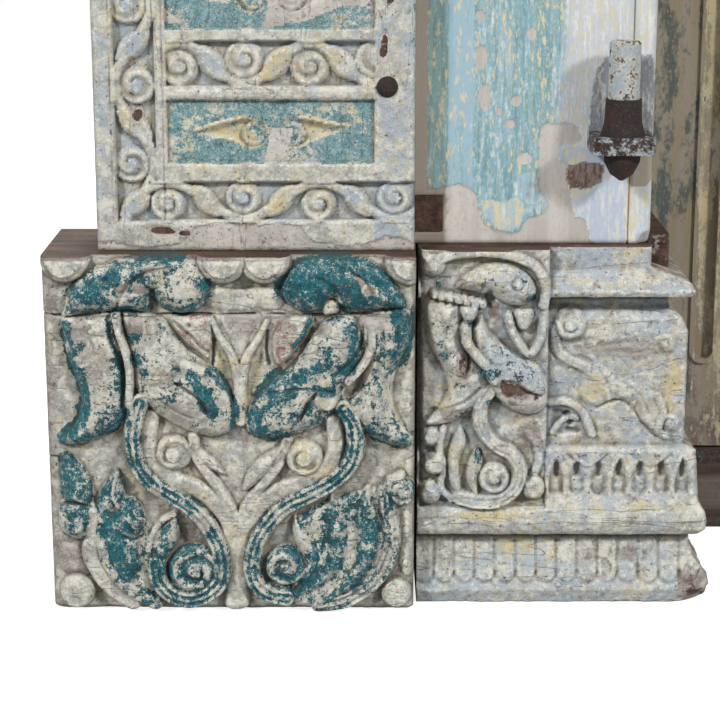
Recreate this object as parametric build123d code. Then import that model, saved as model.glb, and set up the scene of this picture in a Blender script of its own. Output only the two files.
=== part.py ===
from build123d import *
import os

os.makedirs("parts", exist_ok=True)

# A two-leaf carved timber door in its frame. Millimetres, +Z up, front towards -Y.
# Depths are counted from the foremost carving (0) towards the back of the sill.
# One half is modelled at positive x, and the other half is its mirror image.

# Doorway
doorway_width = 852
doorway_height = 1742
sill_height = 88
sill_depth = 100
sill_end = 71

# Plinth block of two courses under each post
plinth_width = 349
plinth_height = 350
plinth_depth = 156
plinth_joint_height = 294
plinth_relief = 20
plinth_field_margin = 9
plinth_outset = 51
plinth_edge_round = 4
plinth_base_gap = 3

# Carved post over the plinth
post_width = 297
post_front = 38
post_depth = 100
post_edge_band = 20
post_border_width = 41
post_border_fillet = 8
post_plain_strip = 35
post_foot_strip = 28
post_foot_border = 39
post_foot_fillet = 15
post_panel_height = 61
post_panel_fillet = 10
post_scroll_height = 44
post_scroll_fillet = 9
post_scroll_depth = 9
post_panel_sink = 3

# Plain jamb that carries the leaf
jamb_width = 226
jamb_front = 73
jamb_depth = 192
jamb_bead = 22
jamb_bead_quirk = 4
jamb_bead_round = 6

# Moulded base block under each jamb: heights of its levels
base_foot_top = 28
base_flare_top = 59
base_recess_top = 69
base_torus_top = 102
base_fillet_top = 108
base_band_top = 158
base_face_top = 269
base_shoulder_top = 292
base_gap_top = 303
base_nose_top = 318
base_neck_start = 331

# Small set-backs that shape the base's mouldings
base_toe = 4
base_arris = 3
base_torus_round = 6
base_torus_weather = 7
base_nose_weather = 4
base_band_step = 2
base_band_chamfer = 3
base_flare_hollow = 0.28
base_shoulder_swell = 0.72

# Petals hollowed into the band, and grooves that part the reeds on the flare
petal_pitch = 31
petal_width = 22
petal_foot = 113
petal_top = 139
petal_depth = 4
reed_pitch = 20
reed_groove_width = 3
reed_groove_depth = 2.5
reed_foot = 22

# How far each level stands out past the jamb, at the doorway side and at the front
side_reach = {"neck": 0, "nose": 41, "gap": 19, "face": 37, "band": 50, "torus": 59, "recess": 45, "foot": 66}
front_reach = {"neck": 13, "nose": 31, "gap": 5, "face": 19, "band": 29, "torus": 41, "recess": 23, "foot": 36}

# Carved tile on the base, and the rough stub left beside its neck
tile_width = 122
tile_inset = 3
tile_bottom = 98
tile_front = 30
tile_lobe_drop = 4
tile_small_lobe = 12
tile_large_lobe = 34
tile_round = 3
stub_reach = 23
stub_bottom = 318
stub_top = 355
stub_front = 90

# Head of the frame. The middle stays behind the lintel's face, clear of the pintles below.
lintel_height = 200
head_height = 260
head_border_drop = 30
head_set_back = 18
cornice_height = 60
cornice_outset = 18
cornice_square = 20
cornice_cove_radius = 60

# Leaves
leaf_thickness = 45
leaf_to_jamb = 5
leaf_bottom_gap = 3
leaf_head_gap = 2
leaf_meeting_gap = 3
pivot_outset = 23
pivot_rail_height = 115
pivot_rail_lap = 40
hanging_stile_width = 187.5
meeting_stile_width = 120
bottom_rail_height = 139
lock_rail_centre = 680
upper_rail_centre = 1240
mid_rail_height = 110
top_rail_height = 138
tenon_length = 50
tenon_thickness = 14
tenon_shoulder = 15
groove_depth = 12
tongue_thickness = 9
joinery_clearance = 0.2
panel_edge_gap = 0.6
panel_field_margin = 34
panel_thickness = 26

# Sunk flute with a raised rim on both stiles
flute_from_jamb = 89
flute_width = 20
flute_rim = 5
flute_rim_height = 3
flute_depth = 7
flute_bottom_height = 183
flute_top_margin = 95

# Timber pivots with iron fittings
heel_pin_radius = 12
shoe_wall = 4
shoe_floor = 5
shoe_drop = 32
cup_wall = 6
cup_floor = 6
running_clearance = 0.06
top_pin_radius = 15
top_pin_length = 60
bush_wall = 6
fit_clearance = 0.2
rest_gap = 0.3

# Iron pintle let into each jamb
pintle_from_edge = 34
pintle_stand_off = 32
pintle_pin_radius = 14.5
pintle_pin_bottom = 493
pintle_pin_top = 546
pintle_collar_radius = 17.5
pintle_collar_flare = 21
pintle_collar_bottom = 459
pintle_plate_width = 58
pintle_plate_thickness = 16
pintle_tang_length = 60
pintle_tang_width = 40
pintle_tenon_radius = 8
pintle_finial_length = 26
pintle_finial_radius = 17.5
pintle_finial_waist = 11
pintle_finial_tip = 2
pintle_pin_chamfer = 2
pintle_collar_waist = 471
pintle_plate_round = 9

# Ring pull on each leaf
ring_height = 1000
ring_from_meeting_edge = 60
ring_radius = 38
ring_bar_radius = 4.5
rose_radius = 28
rose_thickness = 3
rose_dome = 2
eye_radius = 5.5
eye_wire_radius = 2.5
eye_stand_off = 12
staple_leg_length = 40

# Iron nails in the posts, and timber pegs in the jambs
nail_radius = 10
nail_head_height = 6
nail_shank_radius = 4
nail_shank_length = 45
nail_first_height = 504
nail_from_post_edge = 26
nail_every_panels = 4
peg_width = 26
peg_height = 34
peg_length = 50
peg_foot_height = 363
peg_from_post = 1
peg_top_margin = 120

# Places that follow from the sizes above
jamb_back = jamb_front + jamb_depth
total_depth = jamb_back + sill_depth
doorway_side = doorway_width / 2
jamb_outer = doorway_side + jamb_width
post_inner = jamb_outer
post_outer = post_inner + post_width
plinth_outer = post_outer + plinth_outset
plinth_inner = plinth_outer - plinth_width
base_outer = plinth_inner - plinth_base_gap
lintel_bottom = sill_height + doorway_height
post_top = lintel_bottom + lintel_height
wall_depth = post_front + post_depth
head_face = jamb_front + head_set_back
head_top = post_top + head_height
leaf_front = jamb_back + leaf_to_jamb
leaf_back = leaf_front + leaf_thickness
leaf_middle = (leaf_front + leaf_back) / 2
leaf_bottom = sill_height + leaf_bottom_gap
pivot_rail_bottom = lintel_bottom + pivot_rail_lap
leaf_top = pivot_rail_bottom - leaf_head_gap
pivot_x = doorway_side + pivot_outset
heel_radius = leaf_thickness / 2
leaf_outer = pivot_x + heel_radius
leaf_inner = leaf_meeting_gap / 2
sill_half = doorway_side + sill_end
first_panel = plinth_height + post_foot_strip + post_foot_border + post_foot_fillet
panel_pitch = post_panel_height + post_panel_fillet + post_scroll_height + post_scroll_fillet
ring_x = leaf_inner + ring_from_meeting_edge
eye_centre = leaf_front - rose_thickness - eye_stand_off
pintle_x = doorway_side + pintle_from_edge
pintle_depth = jamb_front - pintle_stand_off


def y_at(depth):
    """Turn a depth behind the foremost carving into the frame's y."""
    return depth - total_depth / 2


def block(x_low, x_high, front, back, z_low, z_high):
    """A squared timber between two x, two depths and two heights."""
    size = Box(x_high - x_low, back - front, z_high - z_low)
    middle = ((x_low + x_high) / 2, y_at((front + back) / 2), (z_low + z_high) / 2)
    return Pos(*middle) * size


def post_bar(x, depth, radius, z_low, z_high):
    """A round upright bar."""
    return Pos(x, y_at(depth), (z_low + z_high) / 2) * Cylinder(radius, z_high - z_low)


def turned(x, depth, outline):
    """Turn an outline of (radius, height) points about an upright axis."""
    face = make_face(Polyline(*outline, close=True).edges())
    return Pos(x, y_at(depth), 0) * revolve(Plane.XZ * face, Axis.Z)


def mirrored(shape):
    """The same piece on the other half of the frame."""
    return mirror(shape, about=Plane.YZ)


# Plinth: two courses, each with a raised field that the carving is cut into


def plinth_course(z_low, z_high, open_below, open_above):
    """One timber of the plinth, with its raised carved field on the front."""
    body = block(plinth_inner, plinth_outer, plinth_relief, plinth_depth, z_low, z_high)
    body = fillet(body.edges().filter_by(Axis.Z).group_by(Axis.Y)[0], plinth_edge_round)
    field_low = z_low if open_below else z_low + plinth_field_margin
    field_high = z_high if open_above else z_high - plinth_field_margin
    margin = plinth_field_margin
    field = block(plinth_inner + margin, plinth_outer - margin, 0, plinth_relief + 1, field_low, field_high)
    field = fillet(field.edges().filter_by(Axis.Z).group_by(Axis.Y)[0], plinth_edge_round)
    return body + field


def plinth_lower():
    return plinth_course(0, plinth_joint_height, False, True)


def plinth_upper():
    return plinth_course(plinth_joint_height, plinth_height, True, False)


# Base: two moulded outlines crossed, so the mouldings mitre at the corner


def base_outline(reach, back):
    """The base's section: reach past the jamb against height, closed at its back."""
    foot = reach["foot"]
    recess = reach["recess"]
    torus = reach["torus"]
    band = reach["band"]
    face = reach["face"]
    gap = reach["gap"]
    nose = reach["nose"]
    neck = reach["neck"]
    foot_middle = base_foot_top / 2
    torus_middle = (base_recess_top + base_torus_top) / 2
    flare_middle = (base_foot_top + base_flare_top) / 2
    shoulder_middle = (base_face_top + base_shoulder_top) / 2
    nose_middle = (base_gap_top + base_nose_top) / 2
    foot_end = foot - base_arris
    torus_low = torus - base_torus_round
    torus_high = torus - base_torus_weather
    band_low = band + 1
    band_high = band - base_band_step
    band_edge = base_band_top - base_band_chamfer
    nose_low = nose - base_arris
    nose_high = nose - base_nose_weather
    lines = [
        Line((back, 0), (foot - base_toe, 0)),
        ThreePointArc((foot - base_toe, 0), (foot, foot_middle), (foot_end, base_foot_top)),
        ThreePointArc(
            (foot_end, base_foot_top),
            (recess + base_flare_hollow * (foot - recess), flare_middle),
            (recess, base_flare_top),
        ),
        Line((recess, base_flare_top), (recess, base_recess_top)),
        Line((recess, base_recess_top), (torus_low, base_recess_top)),
        ThreePointArc((torus_low, base_recess_top), (torus, torus_middle), (torus_high, base_torus_top)),
        Line((torus_high, base_torus_top), (band_low, base_fillet_top)),
        Line((band_low, base_fillet_top), (band_high, band_edge)),
        Line((band_high, band_edge), (face, base_band_top)),
        Line((face, base_band_top), (face, base_face_top)),
        ThreePointArc(
            (face, base_face_top),
            (gap + base_shoulder_swell * (face - gap), shoulder_middle),
            (gap, base_shoulder_top),
        ),
        Line((gap, base_shoulder_top), (gap, base_gap_top)),
        Line((gap, base_gap_top), (nose_low, base_gap_top)),
        ThreePointArc((nose_low, base_gap_top), (nose, nose_middle), (nose_high, base_nose_top)),
        Line((nose_high, base_nose_top), (neck, base_neck_start)),
        Line((neck, base_neck_start), (neck, plinth_height)),
        Line((neck, plinth_height), (back, plinth_height)),
        Line((back, plinth_height), (back, 0)),
    ]
    return make_face(lines)


def base_mouldings(inset):
    """Mouldings that run along the front and return along the doorway side, cut back by an inset."""
    side_levels = {level: reach - inset for level, reach in side_reach.items()}
    front_levels = {level: reach - inset for level, reach in front_reach.items()}
    side = base_outline(side_levels, doorway_side - base_outer)
    front = base_outline(front_levels, jamb_front - jamb_back)
    side_plane = Plane(origin=(doorway_side, y_at(jamb_back), 0), x_dir=(-1, 0, 0), z_dir=(0, 1, 0))
    front_plane = Plane(origin=(base_outer, y_at(jamb_front), 0), x_dir=(0, -1, 0), z_dir=(-1, 0, 0))
    along_depth = extrude(side_plane * side, amount=-total_depth)
    along_width = extrude(front_plane * front, amount=base_outer)
    return along_depth & along_width


def spaced(start, end, pitch):
    """Middles of as many repeats as fit between two places, centred between them."""
    count = int((end - start) // pitch)
    first = (start + end - (count - 1) * pitch) / 2
    return [first + step * pitch for step in range(count)]


def petal_face():
    """A petal's hollow: square at its foot and round at its top."""
    radius = petal_width / 2
    shaft = petal_top - radius - petal_foot
    return Pos(0, petal_foot + shaft / 2) * Rectangle(petal_width, shaft) + Pos(0, petal_foot + shaft) * Circle(radius)


def base_petals():
    """Hollows along the band, on the front beside the tile and on the doorway side."""
    front_depth = jamb_front - front_reach["band"]
    side_x = doorway_side - side_reach["band"]
    tile_end = base_outer - tile_inset - tile_width
    face = petal_face()
    reach = petal_depth + base_band_step
    cuts = []
    for x in spaced(side_x + petal_depth, tile_end, petal_pitch):
        wall = Plane(origin=(x, y_at(front_depth - base_band_step), 0), x_dir=(1, 0, 0), z_dir=(0, -1, 0))
        cuts.append(extrude(wall * face, amount=-reach))
    for depth in spaced(front_depth + petal_depth, jamb_back, petal_pitch):
        wall = Plane(origin=(side_x - base_band_step, y_at(depth), 0), x_dir=(0, -1, 0), z_dir=(-1, 0, 0))
        cuts.append(extrude(wall * face, amount=-reach))
    return cuts


def base_reed_slots():
    """Upright slots through the flare, on the front and on the doorway side."""
    half = reed_groove_width / 2
    front = jamb_front - front_reach["foot"] - 1
    side = doorway_side - side_reach["foot"] - 1
    slots = []
    for x in spaced(side + base_arris, base_outer, reed_pitch):
        slots.append(block(x - half, x + half, front, jamb_front, reed_foot, base_flare_top))
    for depth in spaced(front + base_arris, jamb_back, reed_pitch):
        slots.append(block(side, doorway_side, depth - half, depth + half, reed_foot, base_flare_top))
    return slots


def base_tile():
    """The raised tile beside the plinth, with three lobes along its foot."""
    outer = base_outer - tile_inset
    inner = outer - tile_width
    tile = block(inner, outer, tile_front, jamb_front, tile_bottom, plinth_height)
    tile = fillet(tile.edges().filter_by(Axis.Z).group_by(Axis.Y)[0], tile_round)
    lobe_radii = (tile_small_lobe, tile_large_lobe, tile_small_lobe)
    lobe_places = (outer - lobe_radii[0], (outer + inner) / 2, inner + lobe_radii[2])
    for radius, place in zip(lobe_radii, lobe_places):
        lobe = Cylinder(radius, jamb_front - tile_front, rotation=(90, 0, 0))
        lobe = Pos(place, y_at((tile_front + jamb_front) / 2), tile_bottom + radius - tile_lobe_drop) * lobe
        tile = tile + lobe
    return tile


def base():
    """The moulded block with its petals and reeds, its tile, and the rough stub beside its neck."""
    low = doorway_side - stub_reach
    stub = block(low, doorway_side + stub_reach, stub_front, jamb_back, stub_bottom, plinth_height)
    ear = block(low, doorway_side, stub_front, jamb_back, stub_bottom, stub_top)
    body = base_mouldings(0)
    core = base_mouldings(reed_groove_depth)
    for slot in base_reed_slots():
        body -= slot - core
    for petal in base_petals():
        body -= petal
    return body + base_tile() + stub + ear


# Post: sunk scroll borders, and panels in a ladder between raised fillets


def post():
    body = block(post_inner, post_outer, post_front, post_front + post_depth, plinth_height, post_top)
    border_outer = post_outer - post_edge_band
    border_inner = border_outer - post_border_width
    scroll_floor = post_front + post_scroll_depth
    border_foot = plinth_height + post_foot_strip
    border_head = border_foot + post_foot_border
    front = post_front - 1
    body -= block(border_inner, border_outer, front, scroll_floor, border_foot, post_top - post_foot_strip)
    body -= block(post_inner - 1, border_outer, front, scroll_floor, border_foot, border_head)
    panel_outer = border_inner - post_border_fillet
    panel_inner = post_inner + post_plain_strip
    panel_floor = post_front + post_panel_sink
    for bottom in panel_levels():
        panel_top = bottom + post_panel_height
        body -= block(panel_inner, panel_outer, front, panel_floor, bottom, panel_top)
        scroll_bottom = panel_top + post_panel_fillet
        scroll_top = scroll_bottom + post_scroll_height
        if scroll_top < post_top - post_foot_strip:
            body -= block(panel_inner, panel_outer, front, scroll_floor, scroll_bottom, scroll_top)
    return body


def panel_levels():
    """The bottom of each sunk panel that fits on the post."""
    room = post_top - post_foot_strip - first_panel - post_panel_height
    count = int(room // panel_pitch) + 1
    return [first_panel + step * panel_pitch for step in range(count)]


# Jamb


def jamb():
    top = lintel_bottom
    body = block(doorway_side, jamb_outer, jamb_front, jamb_back, plinth_height, top)
    edge = [e for e in body.edges().filter_by(Axis.Z) if is_front_inner(e)]
    body = fillet(edge, jamb_bead_round)
    quirk = doorway_side + jamb_bead
    body -= block(quirk - jamb_bead_quirk / 2, quirk + jamb_bead_quirk / 2, jamb_front - 1,
                  jamb_front + jamb_bead_quirk, plinth_height, top)
    slot = fit_clearance
    half = pintle_tang_width / 2 + slot
    plate_top = pintle_collar_bottom
    body -= block(pintle_x - half, pintle_x + half, jamb_front - 1, jamb_front + pintle_tang_length + slot,
                  plate_top - pintle_plate_thickness - slot, plate_top + slot)
    for bottom in peg_heights():
        body -= peg(bottom, fit_clearance)
    return body


def is_front_inner(edge):
    """True for the jamb's upright edge at the front of the doorway."""
    place = edge.center()
    near_front = abs(place.Y - y_at(jamb_front)) < 0.01
    return near_front and abs(place.X - doorway_side) < 0.01


def peg_heights():
    """The bottom of each peg, near the jamb's foot and near its head."""
    return [peg_foot_height, lintel_bottom - peg_top_margin]


def peg(bottom, spare=0):
    """A squared timber peg, or with some spare the mortise that takes it."""
    outer = jamb_outer - peg_from_post + spare
    inner = jamb_outer - peg_from_post - peg_width - spare
    back = jamb_front + peg_length + spare
    front = jamb_front - spare
    return block(inner, outer, front, back, bottom - spare, bottom + peg_height + spare)


def jamb_pegs():
    pegs = [peg(bottom) for bottom in peg_heights()]
    return Compound(children=pegs + [mirrored(one) for one in pegs])


# Nails through the posts' plain strips


def nail_heights():
    """Every few panels up the post, starting at the one that shows."""
    step = nail_every_panels * panel_pitch
    heights = []
    height = nail_first_height
    while height < post_top - post_foot_strip - nail_radius:
        heights.append(height)
        height += step
    return heights


def nail(height):
    """A hand-forged nail with a domed head that rests on the post's face."""
    dome_radius = (nail_radius**2 + nail_head_height**2) / (2 * nail_head_height)
    crown = nail_head_height - dome_radius
    dome = Pos(0, 0, crown) * Sphere(dome_radius)
    head = dome & Pos(0, 0, nail_head_height / 2) * Cylinder(nail_radius, nail_head_height)
    shank = Pos(0, 0, -nail_shank_length / 2) * Cylinder(nail_shank_radius, nail_shank_length)
    place = Plane(
        origin=(post_inner + nail_from_post_edge, y_at(post_front), height),
        x_dir=(1, 0, 0),
        z_dir=(0, -1, 0),
    )
    return place * (head + shank)


def nail_hole(height):
    radius = nail_shank_radius + fit_clearance
    length = nail_shank_length + 2 * fit_clearance
    place = (post_inner + nail_from_post_edge, y_at(post_front + length / 2), height)
    return Pos(*place) * Cylinder(radius, length, rotation=(90, 0, 0))


def drilled_post():
    body = post()
    for height in nail_heights():
        body -= nail_hole(height)
    return body


def frame_nails():
    nails = [nail(height) for height in nail_heights()]
    return Compound(children=nails + [mirrored(one) for one in nails])


# Head of the frame


def lintel():
    body = block(-jamb_outer, jamb_outer, jamb_front, jamb_back, lintel_bottom, post_top)
    quirk = lintel_bottom + jamb_bead
    half = jamb_bead_quirk / 2
    body -= block(-doorway_side, doorway_side, jamb_front - 1, jamb_front + jamb_bead_quirk,
                  quirk - half, quirk + half)
    return body


def sunk_head(x_low, x_high, face):
    """The sunk scroll border and field that run across the head at one depth."""
    border_top = head_top - head_border_drop
    border_bottom = border_top - post_foot_border
    field_top = border_bottom - post_foot_fillet
    field_bottom = post_top + post_foot_strip
    border = block(x_low, x_high, face - 1, face + post_scroll_depth, border_bottom, border_top)
    return border + block(x_low, x_high, face - 1, face + post_panel_sink, field_bottom, field_top)


def head_board():
    body = block(-post_inner, post_inner, head_face, wall_depth, post_top, head_top)
    end = post_inner - post_edge_band
    return body - sunk_head(-end, end, head_face)


def crown_outline(inward):
    """The crown's section: reach past the face below it against height, closed inwards."""
    top = head_top + cornice_height
    edge = top - cornice_square
    lines = [
        Line((-inward, head_top), (0, head_top)),
        RadiusArc((0, head_top), (cornice_outset, edge), cornice_cove_radius),
        Line((cornice_outset, edge), (cornice_outset, top)),
        Line((cornice_outset, top), (-inward, top)),
        Line((-inward, top), (-inward, head_top)),
    ]
    return make_face(lines)


def crown_run(x_low, x_high, face):
    """The crown moulding along the front, over a face at one depth."""
    plane = Plane(origin=(x_high, y_at(face), 0), x_dir=(0, -1, 0), z_dir=(-1, 0, 0))
    return extrude(plane * crown_outline(wall_depth - face), amount=x_high - x_low)


def cornice():
    return crown_run(-post_inner, post_inner, head_face)


def capital():
    """Block on the post's top, with a crown that returns along its outer side."""
    body = block(post_inner, post_outer, post_front, wall_depth, post_top, head_top)
    body -= sunk_head(post_inner + post_edge_band, post_outer - post_edge_band, post_front)
    front = crown_run(post_inner, post_outer + cornice_outset, post_front)
    plane = Plane(origin=(post_outer, y_at(wall_depth), 0), x_dir=(1, 0, 0), z_dir=(0, -1, 0))
    side = extrude(plane * crown_outline(post_width), amount=post_depth + cornice_outset)
    return body + (front & side)


# Sill and pivot rail


def sill():
    body = block(-sill_half, sill_half, jamb_back, total_depth, 0, sill_height)
    for side in (-1, 1):
        cup_radius = heel_pin_radius + shoe_wall + cup_wall + fit_clearance
        depth = shoe_drop + cup_floor + rest_gap
        body -= post_bar(side * pivot_x, leaf_middle, cup_radius, sill_height - depth, sill_height + 1)
    return body


def pivot_rail():
    top = pivot_rail_bottom + pivot_rail_height
    body = block(-sill_half, sill_half, jamb_back, total_depth, pivot_rail_bottom, top)
    for side in (-1, 1):
        radius = top_pin_radius + bush_wall + fit_clearance
        body -= post_bar(side * pivot_x, leaf_middle, radius, pivot_rail_bottom - 1, top + 1)
    return body


def sill_cup():
    """Iron cup let into the sill, with the running fit that the pivot shoe turns in."""
    inner = heel_pin_radius + shoe_wall + running_clearance
    outer = heel_pin_radius + shoe_wall + cup_wall
    floor = sill_height - shoe_drop - rest_gap
    outline = [
        (0, floor - cup_floor),
        (outer, floor - cup_floor),
        (outer, sill_height),
        (inner, sill_height),
        (inner, floor),
        (0, floor),
    ]
    return turned(pivot_x, leaf_middle, outline)


def head_bush():
    """Iron ring that lines the pivot rail's bore."""
    inner = top_pin_radius + running_clearance
    outer = top_pin_radius + bush_wall
    top = pivot_rail_bottom + pivot_rail_height
    outline = [(inner, pivot_rail_bottom), (outer, pivot_rail_bottom), (outer, top), (inner, top)]
    return turned(pivot_x, leaf_middle, outline)


# Leaf joinery


def rail_spans():
    """Low and high edge of each rail, from the foot of the leaf upwards."""
    half = mid_rail_height / 2
    return {
        "bottom_rail": (leaf_bottom, leaf_bottom + bottom_rail_height),
        "lock_rail": (lock_rail_centre - half, lock_rail_centre + half),
        "upper_rail": (upper_rail_centre - half, upper_rail_centre + half),
        "top_rail": (leaf_top - top_rail_height, leaf_top),
    }


def panel_spans():
    """Low and high edge of each opening between rails."""
    spans = list(rail_spans().values())
    openings = [(low[1], high[0]) for low, high in zip(spans, spans[1:])]
    return dict(zip(("lower_panel", "middle_panel", "upper_panel"), openings))


hanging_inner = leaf_outer - hanging_stile_width
meeting_outer = leaf_inner + meeting_stile_width


def tenon_block(side_x, direction, span, spare):
    """A rail's tenon beyond its shoulder, or its mortise with some spare."""
    half = tenon_thickness / 2 + spare
    low = span[0] + tenon_shoulder - spare
    high = span[1] - tenon_shoulder + spare
    end = side_x + direction * (tenon_length + spare)
    return block(min(side_x, end), max(side_x, end), leaf_middle - half, leaf_middle + half, low, high)


def panel_groove(side_x, direction):
    """The groove along a stile's edge that holds the panels' tongues."""
    half = tongue_thickness / 2 + joinery_clearance
    end = side_x + direction * groove_depth
    low = rail_spans()["bottom_rail"][0] + bottom_rail_height - groove_depth
    high = leaf_top - top_rail_height + groove_depth
    return block(min(side_x, end), max(side_x, end), leaf_middle - half, leaf_middle + half, low, high)


def flute(centre_x):
    """A raised rim and the round-ended flute sunk inside it, on a stile's face."""
    low = flute_bottom_height
    high = leaf_top - flute_top_margin
    rim_radius = flute_width / 2 + flute_rim
    middle = (low + high) / 2
    rim_face = Pos(centre_x, middle) * SlotOverall(high - low, 2 * rim_radius, rotation=90)
    sunk_face = Pos(centre_x, middle) * SlotOverall(high - low - 2 * flute_rim, flute_width, rotation=90)
    wall = Plane(origin=(0, y_at(leaf_front), 0), x_dir=(1, 0, 0), z_dir=(0, -1, 0))
    rim = extrude(wall * rim_face, amount=flute_rim_height)
    sunk = extrude(wall * sunk_face, amount=flute_rim_height) + extrude(wall * sunk_face, amount=-flute_depth)
    return rim, sunk


def hanging_stile():
    """Stile with a rounded heel, and the timber pivots that the leaf turns on."""
    body = block(hanging_inner, pivot_x, leaf_front, leaf_back, leaf_bottom, leaf_top)
    body += post_bar(pivot_x, leaf_middle, heel_radius, leaf_bottom, leaf_top)
    for span in rail_spans().values():
        body -= tenon_block(hanging_inner, 1, span, joinery_clearance)
    body -= panel_groove(hanging_inner, 1)
    rim, sunk = flute(doorway_side - flute_from_jamb)
    body = body + rim - sunk
    pin_low = sill_height - shoe_drop + shoe_floor
    body += post_bar(pivot_x, leaf_middle, heel_pin_radius, pin_low, leaf_bottom + 1)
    body += post_bar(pivot_x, leaf_middle, top_pin_radius, leaf_top - 1, leaf_top + top_pin_length)
    return body


def meeting_stile():
    body = block(leaf_inner, meeting_outer, leaf_front, leaf_back, leaf_bottom, leaf_top)
    for span in rail_spans().values():
        body -= tenon_block(meeting_outer, -1, span, joinery_clearance)
    body -= panel_groove(meeting_outer, -1)
    for leg in staple_leg_places():
        radius = eye_wire_radius + fit_clearance
        length = staple_leg_length + fit_clearance
        place = (ring_x, y_at(leaf_front + length / 2), leg)
        body -= Pos(*place) * Cylinder(radius, length, rotation=(90, 0, 0))
    return body


def rail(span, groove_low, groove_high):
    """A rail between the stiles, with its tenons and its panel grooves."""
    body = block(meeting_outer, hanging_inner, leaf_front, leaf_back, *span)
    body += tenon_block(hanging_inner - 1, 1, span, 0)
    body += tenon_block(meeting_outer + 1, -1, span, 0)
    half = tongue_thickness / 2 + joinery_clearance
    if groove_low:
        body -= block(meeting_outer, hanging_inner, leaf_middle - half, leaf_middle + half,
                      span[0] - 1, span[0] + groove_depth)
    if groove_high:
        body -= block(meeting_outer, hanging_inner, leaf_middle - half, leaf_middle + half,
                      span[1] - groove_depth, span[1] + 1)
    return body


def panel(span):
    """A fielded panel: a thin tongue in the grooves, bevelled up to a raised field."""
    grow = groove_depth - panel_edge_gap
    low_x = meeting_outer - grow
    high_x = hanging_inner + grow
    low_z = span[0] - grow
    high_z = span[1] + grow
    half = tongue_thickness / 2
    tongue = block(low_x, high_x, leaf_middle - half, leaf_middle + half, low_z, high_z)
    width = hanging_inner - meeting_outer - 2 * panel_edge_gap
    height = span[1] - span[0] - 2 * panel_edge_gap
    middle_x = (hanging_inner + meeting_outer) / 2
    middle_z = (span[0] + span[1]) / 2
    body = tongue
    for outward in (-1, 1):
        start = y_at(leaf_middle + outward * half)
        wall = Plane(origin=(middle_x, start, middle_z), x_dir=(1, 0, 0), z_dir=(0, outward, 0))
        rise = (panel_thickness - tongue_thickness) / 2
        field = wall * Rectangle(width - panel_field_margin, height - panel_field_margin)
        field_face = wall.offset(rise) * Rectangle(width - 2 * panel_field_margin, height - 2 * panel_field_margin)
        body = body + loft([field, field_face])
    return body


def pivot_shoe():
    """Iron ferrule over the heel's lower pivot."""
    inner = heel_pin_radius + fit_clearance
    outer = heel_pin_radius + shoe_wall
    low = sill_height - shoe_drop
    outline = [
        (0, low),
        (outer, low),
        (outer, leaf_bottom),
        (inner, leaf_bottom),
        (inner, low + shoe_floor),
        (0, low + shoe_floor),
    ]
    return turned(pivot_x, leaf_middle, outline)


# Ring pull


def staple_leg_places():
    spread = eye_radius + eye_wire_radius
    return (ring_height - spread, ring_height + spread)


def ring_rose():
    """Round iron plate with a low dome, let through by the staple's two legs."""
    wall = Plane(origin=(ring_x, y_at(leaf_front), ring_height), x_dir=(1, 0, 0), z_dir=(0, -1, 0))
    plate = extrude(wall * Circle(rose_radius), amount=rose_thickness)
    plate = chamfer(plate.edges().group_by(Axis.Y)[0], rose_dome)
    for leg in staple_leg_places():
        place = (ring_x, y_at(leaf_front - rose_thickness / 2), leg)
        plate -= Pos(*place) * Cylinder(eye_wire_radius + fit_clearance, 2 * rose_thickness, rotation=(90, 0, 0))
    return plate


def ring_staple():
    """A wire bent round the ring's bar, with two straight legs driven into the leaf."""
    spread = eye_radius + eye_wire_radius
    leg_end = leaf_front + staple_leg_length
    low = (0, y_at(leg_end), ring_height - spread)
    low_turn = (0, y_at(eye_centre), ring_height - spread)
    crown = (0, y_at(eye_centre - spread), ring_height)
    high_turn = (0, y_at(eye_centre), ring_height + spread)
    high = (0, y_at(leg_end), ring_height + spread)
    path = Line(low, low_turn) + ThreePointArc(low_turn, crown, high_turn) + Line(high_turn, high)
    section = Plane(origin=low, z_dir=(0, -1, 0)) * Circle(eye_wire_radius)
    return Pos(ring_x, 0, 0) * sweep(section, path=path)


def ring_pull():
    """The ring hangs in the staple's eye, its bar a little above the eye's lowest point."""
    drop = eye_radius - ring_bar_radius - rest_gap
    centre = ring_height - drop - ring_radius
    turned_ring = Torus(ring_radius, ring_bar_radius, rotation=(90, 0, 0))
    return Pos(ring_x, y_at(eye_centre), centre) * turned_ring


# Pintle


def pintle_pin():
    """Upright pin whose tenon passes down through the collar and the plate."""
    tenon_low = pintle_collar_bottom - pintle_plate_thickness - pintle_finial_length / 2
    outline = [
        (0, tenon_low),
        (pintle_tenon_radius, tenon_low),
        (pintle_tenon_radius, pintle_pin_bottom),
        (pintle_pin_radius, pintle_pin_bottom),
        (pintle_pin_radius, pintle_pin_top - pintle_pin_chamfer),
        (pintle_pin_radius - pintle_pin_chamfer, pintle_pin_top),
        (0, pintle_pin_top),
    ]
    return turned(pintle_x, pintle_depth, outline)


def pintle_collar():
    inner = pintle_tenon_radius + fit_clearance
    outline = [
        (inner, pintle_collar_bottom),
        (pintle_collar_flare, pintle_collar_bottom),
        (pintle_collar_radius, pintle_collar_waist),
        (pintle_collar_radius - 1, pintle_pin_bottom),
        (inner, pintle_pin_bottom),
    ]
    return turned(pintle_x, pintle_depth, outline)


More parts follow.
